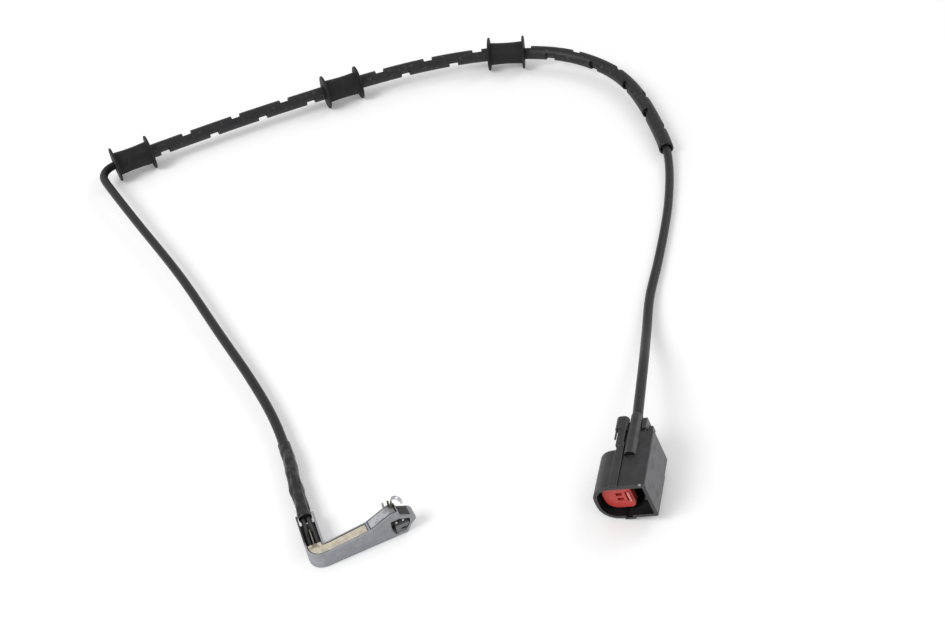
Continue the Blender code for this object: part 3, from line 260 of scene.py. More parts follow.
def piece_of(name, shape, material, smooth_angle=None):
    """A finished piece that rides on the lead."""
    mesh = bpy.data.meshes.new(name)
    shape.to_mesh(mesh)
    shape.free()
    mesh.materials.append(material)
    if smooth_angle is not None:
        for polygon in mesh.polygons:
            polygon.use_smooth = True
        mesh.set_sharp_from_angle(angle=smooth_angle)
    piece = bpy.data.objects.new(name, mesh)
    bpy.context.collection.objects.link(piece)
    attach(piece, "root")
    return piece


def swept_tube(marks, radius, sides):
    """Open tube along the route, with a radius for each mark and angle."""
    shape = bmesh.new()
    here = route_frame(marks[0])
    ring = bmesh.ops.create_circle(
        shape, cap_ends=False, segments=sides, radius=radius(marks[0], 0.0), matrix=here
    )
    edges = list({edge for vert in ring["verts"] for edge in vert.link_edges})
    for mark in marks[1:]:
        grown = bmesh.ops.extrude_edge_only(shape, edges=edges)["geom"]
        edges = [item for item in grown if isinstance(item, bmesh.types.BMEdge)]
        there = route_frame(mark)
        for vert in [item for item in grown if isinstance(item, bmesh.types.BMVert)]:
            flat = here.inverted() @ vert.co
            angle = atan2(flat.y, flat.x)
            reach = radius(mark, angle)
            vert.co = there @ Vector((reach * cos(angle), reach * sin(angle), 0.0))
        here = there
    bmesh.ops.recalc_face_normals(shape, faces=shape.faces)
    return shape


def new_group(name, inputs, outputs):
    """An empty node group with its sockets."""
    group = bpy.data.node_groups.new(name, "ShaderNodeTree")
    for socket_name, socket_type in inputs.items():
        group.interface.new_socket(socket_name, in_out="INPUT", socket_type=socket_type)
    for socket_name in outputs:
        group.interface.new_socket(socket_name, in_out="OUTPUT", socket_type="NodeSocketFloat")
    return group


def fine_relief():
    """Grain of a moulded or extruded surface: a height and a faint value change."""
    group = new_group(
        "fine_relief",
        {"Scale": "NodeSocketFloat", "Contrast": "NodeSocketFloat"},
        ["Height", "Shade"],
    )
    nodes = group.nodes
    links = group.links
    inputs = nodes.new("NodeGroupInput")
    outputs = nodes.new("NodeGroupOutput")
    place = nodes.new("ShaderNodeTexCoord")
    fine = nodes.new("ShaderNodeTexNoise")
    fine.inputs["Detail"].default_value = 3.0
    coarse = nodes.new("ShaderNodeTexNoise")
    coarse.inputs["Detail"].default_value = 2.0
    smaller = nodes.new("ShaderNodeMath")
    smaller.operation = "MULTIPLY"
    smaller.inputs[1].default_value = 0.12
    links.new(place.outputs["Object"], fine.inputs["Vector"])
    links.new(place.outputs["Object"], coarse.inputs["Vector"])
    links.new(inputs.outputs["Scale"], fine.inputs["Scale"])
    links.new(inputs.outputs["Scale"], smaller.inputs[0])
    links.new(smaller.outputs[0], coarse.inputs["Scale"])
    centred = nodes.new("ShaderNodeMath")
    centred.operation = "SUBTRACT"
    centred.inputs[1].default_value = 0.5
    links.new(coarse.outputs["Fac"], centred.inputs[0])
    spread = nodes.new("ShaderNodeMath")
    spread.operation = "MULTIPLY_ADD"
    spread.inputs[2].default_value = 1.0
    links.new(centred.outputs[0], spread.inputs[0])
    links.new(inputs.outputs["Contrast"], spread.inputs[1])
    links.new(fine.outputs["Fac"], outputs.inputs["Height"])
    links.new(spread.outputs[0], outputs.inputs["Shade"])
    return group


FINE_RELIEF = fine_relief()


def moulded(name, colour, roughness, scale, contrast, depth, specular=0.5):
    """A finish with grain: colour, roughness and relief all vary a little."""
    material = bpy.data.materials.new(name)
    material.use_nodes = True
    nodes = material.node_tree.nodes
    links = material.node_tree.links
    shader = nodes["Principled BSDF"]
    shader.inputs["Specular IOR Level"].default_value = specular
    relief = nodes.new("ShaderNodeGroup")
    relief.node_tree = FINE_RELIEF
    relief.inputs["Scale"].default_value = scale
    relief.inputs["Contrast"].default_value = contrast
    shaded = nodes.new("ShaderNodeMix")
    shaded.data_type = "RGBA"
    shaded.blend_type = "MULTIPLY"
    shaded.inputs["Factor"].default_value = 1.0
    shaded.inputs["A"].default_value = (*colour, 1.0)
    links.new(relief.outputs["Shade"], shaded.inputs["B"])
    links.new(shaded.outputs["Result"], shader.inputs["Base Color"])
    rough = nodes.new("ShaderNodeMath")
    rough.operation = "MULTIPLY"
    rough.use_clamp = True
    rough.inputs[1].default_value = roughness
    links.new(relief.outputs["Shade"], rough.inputs[0])
    links.new(rough.outputs[0], shader.inputs["Roughness"])
    bump = nodes.new("ShaderNodeBump")
    bump.inputs["Strength"].default_value = 0.6
    bump.inputs["Distance"].default_value = depth
    links.new(relief.outputs["Height"], bump.inputs["Height"])
    links.new(bump.outputs["Normal"], shader.inputs["Normal"])
    return material


cable_marks = spaced(CABLE_START, ROUTE_LENGTH, CABLE_STEP)
cable_shape = swept_tube(cable_marks, lambda mark, angle: CABLE_DIAMETER / 2, CABLE_SIDES)
bmesh.ops.holes_fill(cable_shape, edges=cable_shape.edges)
cable = piece_of(
    "cable_jacket",
    cable_shape,
    moulded(
        "cable_jacket_pvc",
        (0.017, 0.0175, 0.017),
        roughness=0.42,
        scale=2600.0,
        contrast=0.5,
        depth=0.04 * MM,
        specular=0.34,
    ),
    radians(60.0),
)
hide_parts("cable")


# Heat-shrink sleeve. Black polyolefin tube over the end of the jacket, shrunk with
# hot air, so that it lies in flat creases. It is tightest at its far end, and has
# a bead where it leaves the sensor head.

SLEEVE_START = 3.1 * MM
SLEEVE_END = 42.6 * MM
SLEEVE_STEP = 0.4 * MM
SLEEVE_SIDES = 48
SLEEVE_WALL = 0.30 * MM
SLEEVE_CLEARANCE = 0.22 * MM
BEAD_PLACE = 4.6 * MM
BEAD_REACH = 0.9 * MM
BEAD_HEIGHT = 0.22 * MM
CREASES_FROM = 3.6 * MM
CREASES_FADE = 3.0 * MM
CREASES_AROUND = 2.2
CREASE_DEPTH = 0.60 * MM
CREASE_LENGTH = 7.0 * MM
RIPPLES_AROUND = 4.0
RIPPLE_DEPTH = 0.14 * MM
RIPPLE_LENGTH = 2.6 * MM
RIPPLE_OFFSET = 9.0
CREASES_LOST_AT_END = 0.7
TIGHT_FROM = 34.0 * MM
TIGHTENING = 0.19 * MM
JACKET_GAP = 0.03 * MM


def walled(piece, thickness):
    """Gives an open shell its wall, inwards."""
    wall = piece.modifiers.new("wall", "SOLIDIFY")
    wall.thickness = thickness
    wall.offset = -1.0


def eased(piece, width, segments=3, limit=30.0):
    """Rounds the edges as a mould does."""
    edge = piece.modifiers.new("edges", "BEVEL")
    edge.width = width
    edge.segments = segments
    edge.limit_method = "ANGLE"
    edge.angle_limit = radians(limit)


sleeve_radius = CABLE_DIAMETER / 2 + SLEEVE_CLEARANCE + SLEEVE_WALL


def sleeve_swell(mark, angle):
    """Shrunk tube: a bead where it leaves the head, flat creases, a tighter end."""
    bead = max(0.0, 1.0 - abs(mark - BEAD_PLACE) / BEAD_REACH)
    tight = max(0.0, (mark - TIGHT_FROM) / (SLEEVE_END - TIGHT_FROM))
    free = min(1.0, max(0.0, (mark - CREASES_FROM) / CREASES_FADE))
    free *= 1.0 - CREASES_LOST_AT_END * tight
    around = Vector((cos(angle), sin(angle), 0.0))
    along = Vector((0.0, 0.0, mark))
    upward = Vector((0.0, 0.0, RIPPLE_OFFSET))
    crease = noise.noise(CREASES_AROUND * around + along / CREASE_LENGTH)
    ripple = noise.noise(RIPPLES_AROUND * around + along / RIPPLE_LENGTH + upward)
    radius = sleeve_radius + BEAD_HEIGHT * bead - TIGHTENING * tight
    radius += free * (CREASE_DEPTH * crease + RIPPLE_DEPTH * ripple)
    return max(radius, CABLE_DIAMETER / 2 + SLEEVE_WALL + JACKET_GAP)


def patches():
    """Uneven patches, for stains, dust and wear. Low and High set how much is covered."""
    group = new_group(
        "patches",
        {"Scale": "NodeSocketFloat", "Low": "NodeSocketFloat", "High": "NodeSocketFloat"},
        ["Mask"],
    )
    nodes = group.nodes
    links = group.links
    inputs = nodes.new("NodeGroupInput")
    outputs = nodes.new("NodeGroupOutput")
    place = nodes.new("ShaderNodeTexCoord")
    cloud = nodes.new("ShaderNodeTexNoise")
    cloud.inputs["Detail"].default_value = 4.0
    cloud.inputs["Roughness"].default_value = 0.6
    spread = nodes.new("ShaderNodeMapRange")
    links.new(place.outputs["Object"], cloud.inputs["Vector"])
    links.new(inputs.outputs["Scale"], cloud.inputs["Scale"])
    links.new(cloud.outputs["Fac"], spread.inputs["Value"])
    links.new(inputs.outputs["Low"], spread.inputs["From Min"])
    links.new(inputs.outputs["High"], spread.inputs["From Max"])
    links.new(spread.outputs["Result"], outputs.inputs["Mask"])
    return group


def near_place():
    """Fades from one place on the surface outwards, to nothing at Reach."""
    group = new_group(
        "near_place", {"Place": "NodeSocketVector", "Reach": "NodeSocketFloat"}, ["Mask"]
    )
    nodes = group.nodes
    links = group.links
    inputs = nodes.new("NodeGroupInput")
    outputs = nodes.new("NodeGroupOutput")
    place = nodes.new("ShaderNodeTexCoord")
    away = nodes.new("ShaderNodeVectorMath")
    away.operation = "DISTANCE"
    fade = nodes.new("ShaderNodeMapRange")
    fade.interpolation_type = "SMOOTHSTEP"
    fade.inputs["To Min"].default_value = 1.0
    fade.inputs["To Max"].default_value = 0.0
    links.new(place.outputs["Object"], away.inputs[0])
    links.new(inputs.outputs["Place"], away.inputs[1])
    links.new(away.outputs["Value"], fade.inputs["Value"])
    links.new(inputs.outputs["Reach"], fade.inputs["From Max"])
    links.new(fade.outputs["Result"], outputs.inputs["Mask"])
    return group


def edge_wear_and_highlight():
    """Finds the edges of a piece, as wide as Width, where wear and painted edge highlights go."""
    group = new_group("edge_wear_and_highlight", {"Width": "NodeSocketFloat"}, ["Mask"])
    nodes = group.nodes
    links = group.links
    inputs = nodes.new("NodeGroupInput")
    outputs = nodes.new("NodeGroupOutput")
    rounded = nodes.new("ShaderNodeBevel")
    rounded.samples = 6
    surface = nodes.new("ShaderNodeNewGeometry")
    same = nodes.new("ShaderNodeVectorMath")
    same.operation = "DOT_PRODUCT"
    spread = nodes.new("ShaderNodeMapRange")
    spread.inputs["From Min"].default_value = 0.995
    spread.inputs["From Max"].default_value = 0.80
    links.new(inputs.outputs["Width"], rounded.inputs["Radius"])
    links.new(rounded.outputs["Normal"], same.inputs[0])
    links.new(surface.outputs["Normal"], same.inputs[1])
    links.new(same.outputs["Value"], spread.inputs["Value"])
    links.new(spread.outputs["Result"], outputs.inputs["Mask"])
    return group


def facing():
    """The faces that look along Direction."""
    group = new_group("facing", {"Direction": "NodeSocketVector"}, ["Mask"])
    nodes = group.nodes
    links = group.links
    inputs = nodes.new("NodeGroupInput")
    outputs = nodes.new("NodeGroupOutput")
    surface = nodes.new("ShaderNodeNewGeometry")
    along = nodes.new("ShaderNodeVectorMath")
    along.operation = "DOT_PRODUCT"
    spread = nodes.new("ShaderNodeMapRange")
    spread.inputs["From Min"].default_value = 0.55
    spread.inputs["From Max"].default_value = 0.95
    links.new(surface.outputs["Normal"], along.inputs[0])
    links.new(inputs.outputs["Direction"], along.inputs[1])
    links.new(along.outputs["Value"], spread.inputs["Value"])
    links.new(spread.outputs["Result"], outputs.inputs["Mask"])
    return group


def painted_crevice_shade():
    """Narrow places within Reach of another surface, where shade is painted."""
    group = new_group("painted_crevice_shade", {"Reach": "NodeSocketFloat"}, ["Mask"])
    nodes = group.nodes
    links = group.links
    inputs = nodes.new("NodeGroupInput")
    outputs = nodes.new("NodeGroupOutput")
    open_sky = nodes.new("ShaderNodeAmbientOcclusion")
    open_sky.samples = 6
    spread = nodes.new("ShaderNodeMapRange")
    spread.inputs["From Min"].default_value = 0.62
    spread.inputs["From Max"].default_value = 0.25
    links.new(inputs.outputs["Reach"], open_sky.inputs["Distance"])
    links.new(open_sky.outputs["AO"], spread.inputs["Value"])
    links.new(spread.outputs["Result"], outputs.inputs["Mask"])
    return group


def beyond():
    """The part of a piece past a plane through Place, in the way of Direction."""
    group = new_group(
        "beyond",
        {
            "Place": "NodeSocketVector",
            "Direction": "NodeSocketVector",
            "Blend": "NodeSocketFloat",
        },
        ["Mask"],
    )
    nodes = group.nodes
    links = group.links
    inputs = nodes.new("NodeGroupInput")
    outputs = nodes.new("NodeGroupOutput")
    place = nodes.new("ShaderNodeTexCoord")
    away = nodes.new("ShaderNodeVectorMath")
    away.operation = "SUBTRACT"
    along = nodes.new("ShaderNodeVectorMath")
    along.operation = "DOT_PRODUCT"
    spread = nodes.new("ShaderNodeMapRange")
    links.new(place.outputs["Object"], away.inputs[0])
    links.new(inputs.outputs["Place"], away.inputs[1])
    links.new(away.outputs["Vector"], along.inputs[0])
    links.new(inputs.outputs["Direction"], along.inputs[1])
    links.new(along.outputs["Value"], spread.inputs["Value"])
    links.new(inputs.outputs["Blend"], spread.inputs["From Max"])
    links.new(spread.outputs["Result"], outputs.inputs["Mask"])
    return group


PATCHES = patches()
BEYOND = beyond()
FACING = facing()
PAINTED_CREVICE_SHADE = painted_crevice_shade()
NEAR_PLACE = near_place()
EDGE_WEAR_AND_HIGHLIGHT = edge_wear_and_highlight()


def mask_of(material, group, **values):
    """Places an effect in a material with its own values, and gives its mask."""
    node = material.node_tree.nodes.new("ShaderNodeGroup")
    node.node_tree = group
    for name, value in values.items():
        node.inputs[name].default_value = value
    return node.outputs["Mask"]


def both(material, first, second):
    """The part of one mask that lies in another, or a share of it."""
    product = material.node_tree.nodes.new("ShaderNodeMath")
    product.operation = "MULTIPLY"
    product.use_clamp = True
    material.node_tree.links.new(first, product.inputs[0])
    if isinstance(second, float):
        product.inputs[1].default_value = second
    else:
        material.node_tree.links.new(second, product.inputs[1])
    return product.outputs[0]


def laid_over(material, mask, colour, roughness=None):
    """Lays another colour, and its roughness, over a finish where the mask is."""
    nodes = material.node_tree.nodes
    links = material.node_tree.links
    shader = nodes["Principled BSDF"]
    layers = [("Base Color", "RGBA", (*colour, 1.0))]
    if roughness is not None:
        layers.append(("Roughness", "FLOAT", roughness))
    for socket_name, kind, value in layers:
        below = shader.inputs[socket_name].links[0].from_socket
        layer = nodes.new("ShaderNodeMix")
        layer.data_type = kind
        links.new(mask, layer.inputs["Factor"])
        links.new(below, layer.inputs["A"])
        layer.inputs["B"].default_value = value
        links.new(layer.outputs["Result"], shader.inputs[socket_name])


shrink_tube = moulded(
    "shrink_tube",
    (0.0165, 0.0165, 0.0167),
    roughness=0.32,
    scale=700.0,
    contrast=0.8,
    depth=0.16 * MM,
    specular=0.4,
)
laid_over(
    shrink_tube,
    both(shrink_tube, mask_of(shrink_tube, PATCHES, Scale=330.0, Low=0.50, High=0.66), 0.75),
    (0.062, 0.060, 0.058),
    roughness=0.45,
)
sleeve = piece_of(
    "shrink_sleeve",
    swept_tube(spaced(SLEEVE_START, SLEEVE_END, SLEEVE_STEP), sleeve_swell, SLEEVE_SIDES),
    shrink_tube,
    radians(50.0),
)
walled(sleeve, SLEEVE_WALL)
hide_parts("heat_shrink_sleeve")


# Slotted conduit. One extruded black nylon tube with slots cut in turn on its two
# sides, so that it bends with the suspension. It starts in the first grommet, and
# it has taken a twist towards its far end.

CONDUIT_DIAMETER = 7.0 * MM
CONDUIT_WALL = 0.85 * MM
CONDUIT_MARK = 268.13 * MM
CONDUIT_START = CONDUIT_MARK + 0.6 * MM
CONDUIT_LENGTH = 348.6 * MM
CONDUIT_STEP = 2.0 * MM
CONDUIT_SIDES = 40
SLOT_LENGTH = 4.8 * MM
SLOT_DEPTH = 2.1 * MM
SLOT_PITCH = 26.8 * MM
SLOT_FIRST = 12.2 * MM
SLOT_COUNT = 25
SLOT_TILT_AT_FIRST_END = radians(48.0)
SLOT_TILT_AT_LAST_END = radians(-18.0)
TWIST_START = 0.52
TWIST_POWER = 1.5
CUTTER_REACH = 4.0 * MM
CUTTER_WIDTH = 9.6 * MM

conduit_nylon = moulded(
    "conduit_nylon",
    (0.0155, 0.0145, 0.0165),
    roughness=0.45,
    scale=1500.0,
    contrast=0.6,
    depth=0.06 * MM,
    specular=0.36,
)
laid_over(
    conduit_nylon,
    both(conduit_nylon, mask_of(conduit_nylon, PATCHES, Scale=480.0, Low=0.56, High=0.68), 0.6),
    (0.075, 0.070, 0.066),
    roughness=0.6,
)
# Painted shade: the nylon is darkened in its slots and crevices.
laid_over(
    conduit_nylon, mask_of(conduit_nylon, PAINTED_CREVICE_SHADE, Reach=1.5 * MM), (0.004, 0.004, 0.004)
)
conduit = piece_of(
    "conduit_tube",
    swept_tube(
        spaced(CONDUIT_START, CONDUIT_START + CONDUIT_LENGTH, CONDUIT_STEP),
        lambda mark, angle: CONDUIT_DIAMETER / 2,
        CONDUIT_SIDES,
    ),
    conduit_nylon,
    radians(35.0),
)
walled(conduit, CONDUIT_WALL)


def cut_out(piece, places):
    """Cuts a block out of the piece at each place, and keeps the result as its mesh."""
    tool_shape = bmesh.new()
    for place in places:
        bmesh.ops.create_cube(tool_shape, size=1.0, matrix=place)
    tool = piece_of("cutter", tool_shape, piece.data.materials[0])
    cut = piece.modifiers.new("cut", "BOOLEAN")
    cut.operation = "DIFFERENCE"
    cut.solver = "EXACT"
    cut.object = tool
    bpy.context.view_layer.update()
    result = bpy.data.meshes.new_from_object(
        piece.evaluated_get(bpy.context.evaluated_depsgraph_get())
    )
    piece.modifiers.clear()
    piece.data = result
    bpy.data.objects.remove(tool)


slot_places = []
for index in range(SLOT_COUNT):
    along = SLOT_FIRST + index * SLOT_PITCH / 2
    share = along / CONDUIT_LENGTH
    turned = max(0.0, (share - TWIST_START) / (1.0 - TWIST_START)) ** TWIST_POWER
    tilt = SLOT_TILT_AT_FIRST_END + (SLOT_TILT_AT_LAST_END - SLOT_TILT_AT_FIRST_END) * turned
    side = pi if index % 2 else 0.0
    slot_places.append(
        route_frame(CONDUIT_START + along)
        @ Matrix.Rotation(tilt + side, 4, "Z")
        @ Matrix.Translation((CONDUIT_DIAMETER / 2 - SLOT_DEPTH + CUTTER_REACH / 2, 0.0, 0.0))
        @ Matrix.Diagonal((CUTTER_REACH, CUTTER_WIDTH, SLOT_LENGTH, 1.0))
    )
cut_out(conduit, slot_places)
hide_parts("slotted_conduit")


# Grommets. Three moulded black rubber spools on the conduit, each a waisted barrel
# between two thin flanges. They snap into brackets on the body and the strut.

GROMMET_LENGTH = 19.7 * MM
GROMMET_FLANGE_DIAMETER = 17.5 * MM
GROMMET_FLANGE_THICKNESS = 1.3 * MM
GROMMET_FLANGE_DRAFT = 0.15 * MM
GROMMET_BARREL_DIAMETER = 11.8 * MM
GROMMET_BARREL_WAIST = 0.35 * MM
GROMMET_BORE_CLEARANCE = 0.35 * MM
GROMMET_SIDES = 72
GROMMET_PLACES = {"first": 9.85 * MM, "second": 125.0 * MM, "third": 216.0 * MM}

grommet_rubber = moulded(
    "grommet_rubber",
    (0.0115, 0.0115, 0.012),
    roughness=0.6,
    scale=1100.0,
    contrast=0.5,
    depth=0.06 * MM,
    specular=0.26,
)
laid_over(
    grommet_rubber,
    both(grommet_rubber, mask_of(grommet_rubber, PATCHES, Scale=300.0, Low=0.52, High=0.70), 0.5),
    (0.030, 0.0295, 0.029),
    roughness=0.7,
)
half = GROMMET_LENGTH / 2
inner = half - GROMMET_FLANGE_THICKNESS
bore = CONDUIT_DIAMETER / 2 + GROMMET_BORE_CLEARANCE
flange = GROMMET_FLANGE_DIAMETER / 2
barrel = GROMMET_BARREL_DIAMETER / 2
waist = barrel - GROMMET_BARREL_WAIST
upper_profile = [
    (barrel - 0.3 * MM, 0.4 * inner),
    (barrel, inner),
    (flange, inner + GROMMET_FLANGE_DRAFT),
    (flange, half - GROMMET_FLANGE_DRAFT),
    (bore, half),
]
lower_profile = [(radius, -height) for radius, height in reversed(upper_profile)]
grommet_profile = [*lower_profile, (waist, 0.0), *upper_profile]
for grommet_name, grommet_mark in GROMMET_PLACES.items():
    shape = bmesh.new()
    corners = [shape.verts.new((radius, 0.0, height)) for radius, height in grommet_profile]
    line = [shape.edges.new(pair) for pair in zip(corners, corners[1:] + corners[:1])]
    bmesh.ops.spin(
        shape,
        geom=corners + line,
        cent=(0.0, 0.0, 0.0),
        axis=(0.0, 0.0, 1.0),
        angle=2 * pi,
        steps=GROMMET_SIDES,
        use_merge=True,
    )
    bmesh.ops.recalc_face_normals(shape, faces=shape.faces)
    grommet_place = route_frame(CONDUIT_MARK + grommet_mark)
    bmesh.ops.transform(shape, matrix=grommet_place, verts=shape.verts)
    grommet = piece_of("grommet_" + grommet_name + "_rubber", shape, grommet_rubber, radians(60.0))
    eased(grommet, width=0.35 * MM, segments=3, limit=35.0)
    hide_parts("grommet_" + grommet_name)


# Sensor housing. A grey filled-nylon moulding: an open trough with an entry leg,
# a ramp and the block that clips to the pad. Its edges are scuffed pale and carry a painted
# highlight, its window and crevices get painted shade, and adhesive from the shrink tube has run
# down the leg.

HEAD_PLACE = Vector((-37.5 * MM, -162.3 * MM, 0.0))
HEAD_TURN = radians(19.5)
HEAD_LENGTH = 40.6 * MM
HEAD_HEIGHT = 13.0 * MM
ARM_WIDTH = 5.2 * MM
ENTRY_ANGLE = radians(85.0)
LEG_LEFT = -1.0 * MM
LEG_WIDTH = 6.9 * MM
ADHESIVE_DEPTH = 0.75 * MM
ADHESIVE_START = 6.6 * MM
RIB_LEFT = 3.1 * MM
RIB_RIGHT = 3.8 * MM
RIB_TOP = 5.6 * MM
head_place = Matrix.Translation(HEAD_PLACE + LEAD_SHIFT) @ Matrix.Rotation(HEAD_TURN, 4, "Z")
leg_along = Vector((cos(ENTRY_ANGLE), sin(ENTRY_ANGLE), 0.0))
leg_across = Vector((sin(ENTRY_ANGLE), -cos(ENTRY_ANGLE), 0.0))


def dressed(node_name, piece_name, material, bevel=0.0, sharp=40.0, cuts=()):
    """The CAD piece, with its triangles joined, its edges eased and its finish."""
    shape = bmesh.new()
    shape.from_mesh(bpy.data.objects[node_name].data)
    same_point = 0.003 * MM
    bmesh.ops.remove_doubles(shape, verts=shape.verts, dist=same_point)
    same_plane = radians(0.6)
    bmesh.ops.dissolve_limit(
        shape, angle_limit=same_plane, verts=shape.verts, edges=shape.edges
    )
    piece = piece_of(piece_name, shape, material, radians(sharp))
    if cuts:
        cut_out(piece, cuts)
        piece.data.set_sharp_from_angle(angle=radians(sharp))
    if bevel:
        eased(piece, width=bevel, segments=2, limit=sharp)
    shading = piece.modifiers.new("shading", "WEIGHTED_NORMAL")
    shading.keep_sharp = True
    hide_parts(node_name)
    return piece


housing_plastic = moulded(
    "housing_filled_nylon",
    (0.295, 0.305, 0.335),
    roughness=0.5,
    scale=1500.0,
    contrast=0.35,
    depth=0.05 * MM,
)
laid_over(
    housing_plastic,
    both(housing_plastic, mask_of(housing_plastic, PATCHES, Scale=420.0, Low=0.5, High=0.72), 0.55),
    (0.44, 0.44, 0.45),
    roughness=0.6,
)
laid_over(
    housing_plastic,
    both(housing_plastic, mask_of(housing_plastic, PATCHES, Scale=180.0, Low=0.5, High=0.7), 0.5),
    (0.19, 0.19, 0.20),
)
# Pale edges: scuffing, and a painted highlight along the rims.
laid_over(
    housing_plastic,
    both(
        housing_plastic,
        mask_of(housing_plastic, EDGE_WEAR_AND_HIGHLIGHT, Width=0.25 * MM),
        mask_of(housing_plastic, PATCHES, Scale=600.0, Low=0.3, High=0.6),
    ),
    (0.50, 0.50, 0.51),
    roughness=0.5,
)
# Painted shade: the housing darkens round the back of the window cavity.
window_back = head_place @ Vector((HEAD_LENGTH - 6.0 * MM, 3.2 * MM, 5.2 * MM))
laid_over(
    housing_plastic,
    mask_of(housing_plastic, NEAR_PLACE, Place=window_back, Reach=4.2 * MM),
    (0.045, 0.044, 0.046),
)
# Painted shade in the crevices of the housing.
laid_over(
    housing_plastic, mask_of(housing_plastic, PAINTED_CREVICE_SHADE, Reach=1.2 * MM), (0.05, 0.045, 0.045)
)


def leg_point(along, across, height):
    """Place on the entry leg, along it and across it from its corner."""
    return head_place @ (leg_along * along + leg_across * across + Vector((0.0, 0.0, height)))


def past_in_leg(place, direction, blend):
    """The part of the housing past a place on the leg."""
    heading = head_place.to_3x3() @ direction
    return mask_of(housing_plastic, BEYOND, Place=place, Direction=heading, Blend=blend)


adhesive_edge = leg_point(0.0, LEG_LEFT + LEG_WIDTH - ADHESIVE_DEPTH, 0.0)
laid_over(
    housing_plastic,
    both(
        housing_plastic,
        past_in_leg(adhesive_edge, -leg_across, blend=0.2 * MM),
        past_in_leg(leg_point(ADHESIVE_START, 0.0, 0.0), leg_along, blend=2.2 * MM),
    ),
    (0.034, 0.033, 0.033),
    roughness=0.45,
)

# The top of the rib between the cores is bare of adhesive and painted pale as a painted highlight.
rib_width = both(
    housing_plastic,
    past_in_leg(leg_point(0.0, LEG_LEFT + RIB_LEFT, 0.0), leg_across, blend=0.1 * MM),
    past_in_leg(leg_point(0.0, LEG_LEFT + RIB_RIGHT, 0.0), -leg_across, blend=0.1 * MM),
)
rib_middle = leg_point(10.5 * MM, 2.4 * MM, 6.6 * MM)
rib_top = both(
    housing_plastic,
    past_in_leg(Vector((0.0, 0.0, RIB_TOP)), Vector((0.0, 0.0, 1.0)), blend=0.2 * MM),
    mask_of(housing_plastic, NEAR_PLACE, Place=rib_middle, Reach=8.0 * MM),
)
laid_over(housing_plastic, both(housing_plastic, rib_width, rib_top), (0.34, 0.33, 0.31))
dressed("sensor_housing", "sensor_housing_moulding", housing_plastic)


# Potting. Beige epoxy poured into the trough over the joints of the cores, a
# little below the rim. Its top is grainy, and dirty where the cores go in.

potting_epoxy = moulded(
    "potting_epoxy",
    (0.56, 0.50, 0.385),
    roughness=0.45,
    scale=900.0,
    contrast=0.3,
    depth=0.10 * MM,
)
laid_over(
    potting_epoxy,
    both(potting_epoxy, mask_of(potting_epoxy, PATCHES, Scale=700.0, Low=0.45, High=0.62), 0.7),
    (0.66, 0.60, 0.50),
    roughness=0.35,
)
laid_over(
    potting_epoxy,
    both(potting_epoxy, mask_of(potting_epoxy, PATCHES, Scale=300.0, Low=0.5, High=0.68), 0.7),
    (0.30, 0.28, 0.25),
)
# Painted shade in the crevices of the epoxy.
laid_over(
    potting_epoxy, mask_of(potting_epoxy, PAINTED_CREVICE_SHADE, Reach=0.8 * MM), (0.10, 0.08, 0.07)
)
cores_enter = leg_point(6.4 * MM, 2.4 * MM, 7.4 * MM)
laid_over(
    potting_epoxy,
    both(
        potting_epoxy,
        mask_of(potting_epoxy, NEAR_PLACE, Place=cores_enter, Reach=4.4 * MM),
        mask_of(potting_epoxy, PATCHES, Scale=620.0, Low=0.38, High=0.58),
    ),
    (0.13, 0.11, 0.085),
)
dressed("potting_compound", "potting_epoxy_fill", potting_epoxy)


# Cores. Two stranded wires in dark insulation, which leave the cable side by side,
# part round the rib in the leg and run into the epoxy.

core_insulation = moulded(
    "core_insulation",
    (0.045, 0.044, 0.044),
    roughness=0.45,
    scale=1800.0,
    contrast=0.5,
    depth=0.03 * MM,
)
for core_name in ("core_wire_a", "core_wire_b"):
    dressed(core_name, core_name + "_insulation", core_insulation, sharp=50.0)


# Element carrier and wire loop. A moulded grey plate in the window of the head
# holds a bare tinned wire, bent to a U. The brake disc cuts through the wire when
# the pad is worn.

CARRIER_SLOT_PLACE = (HEAD_LENGTH - 5.1 * MM, 0.6 * MM, 3.15 * MM)
CARRIER_SLOT_SIZE = (1.7 * MM, 1.8 * MM, 0.95 * MM)
carrier_plate = moulded(
    "carrier_plate",
    (0.17, 0.17, 0.175),
    roughness=0.5,
    scale=1500.0,
    contrast=0.4,
    depth=0.03 * MM,
)
# Pale edges: wear and a painted highlight.
laid_over(
    carrier_plate, mask_of(carrier_plate, EDGE_WEAR_AND_HIGHLIGHT, Width=0.15 * MM), (0.34, 0.34, 0.34)
)
# Painted shade in the window round the plate.
laid_over(
    carrier_plate, mask_of(carrier_plate, PAINTED_CREVICE_SHADE, Reach=1.6 * MM), (0.02, 0.02, 0.02)
)
slot_size = Matrix.Diagonal((*CARRIER_SLOT_SIZE, 1.0))
dressed(
    "element_carrier",
    "element_carrier_plate",
    carrier_plate,
    bevel=0.08 * MM,
    cuts=[head_place @ Matrix.Translation(CARRIER_SLOT_PLACE) @ slot_size],
)

loop_wire = moulded(
    "loop_wire",
    (0.72, 0.70, 0.66),
    roughness=0.3,
    scale=2500.0,
    contrast=0.3,
    depth=0.02 * MM,
)
loop_wire.node_tree.nodes["Principled BSDF"].inputs["Metallic"].default_value = 1.0
dressed("wear_loop", "wear_loop_wire", loop_wire, sharp=50.0)


# Wear pad. A dark moulded block pressed into the pocket in the sloping nose, level
# with its side walls. It fills the pocket, and its back corner is marked red.

PAD_TO_POCKET = (1.12, 1.13, 1.0)
wear_pad = moulded(
    "wear_pad",
    (0.032, 0.031, 0.033),
    roughness=0.4,
    scale=1500.0,
    contrast=0.5,
    depth=0.04 * MM,
)
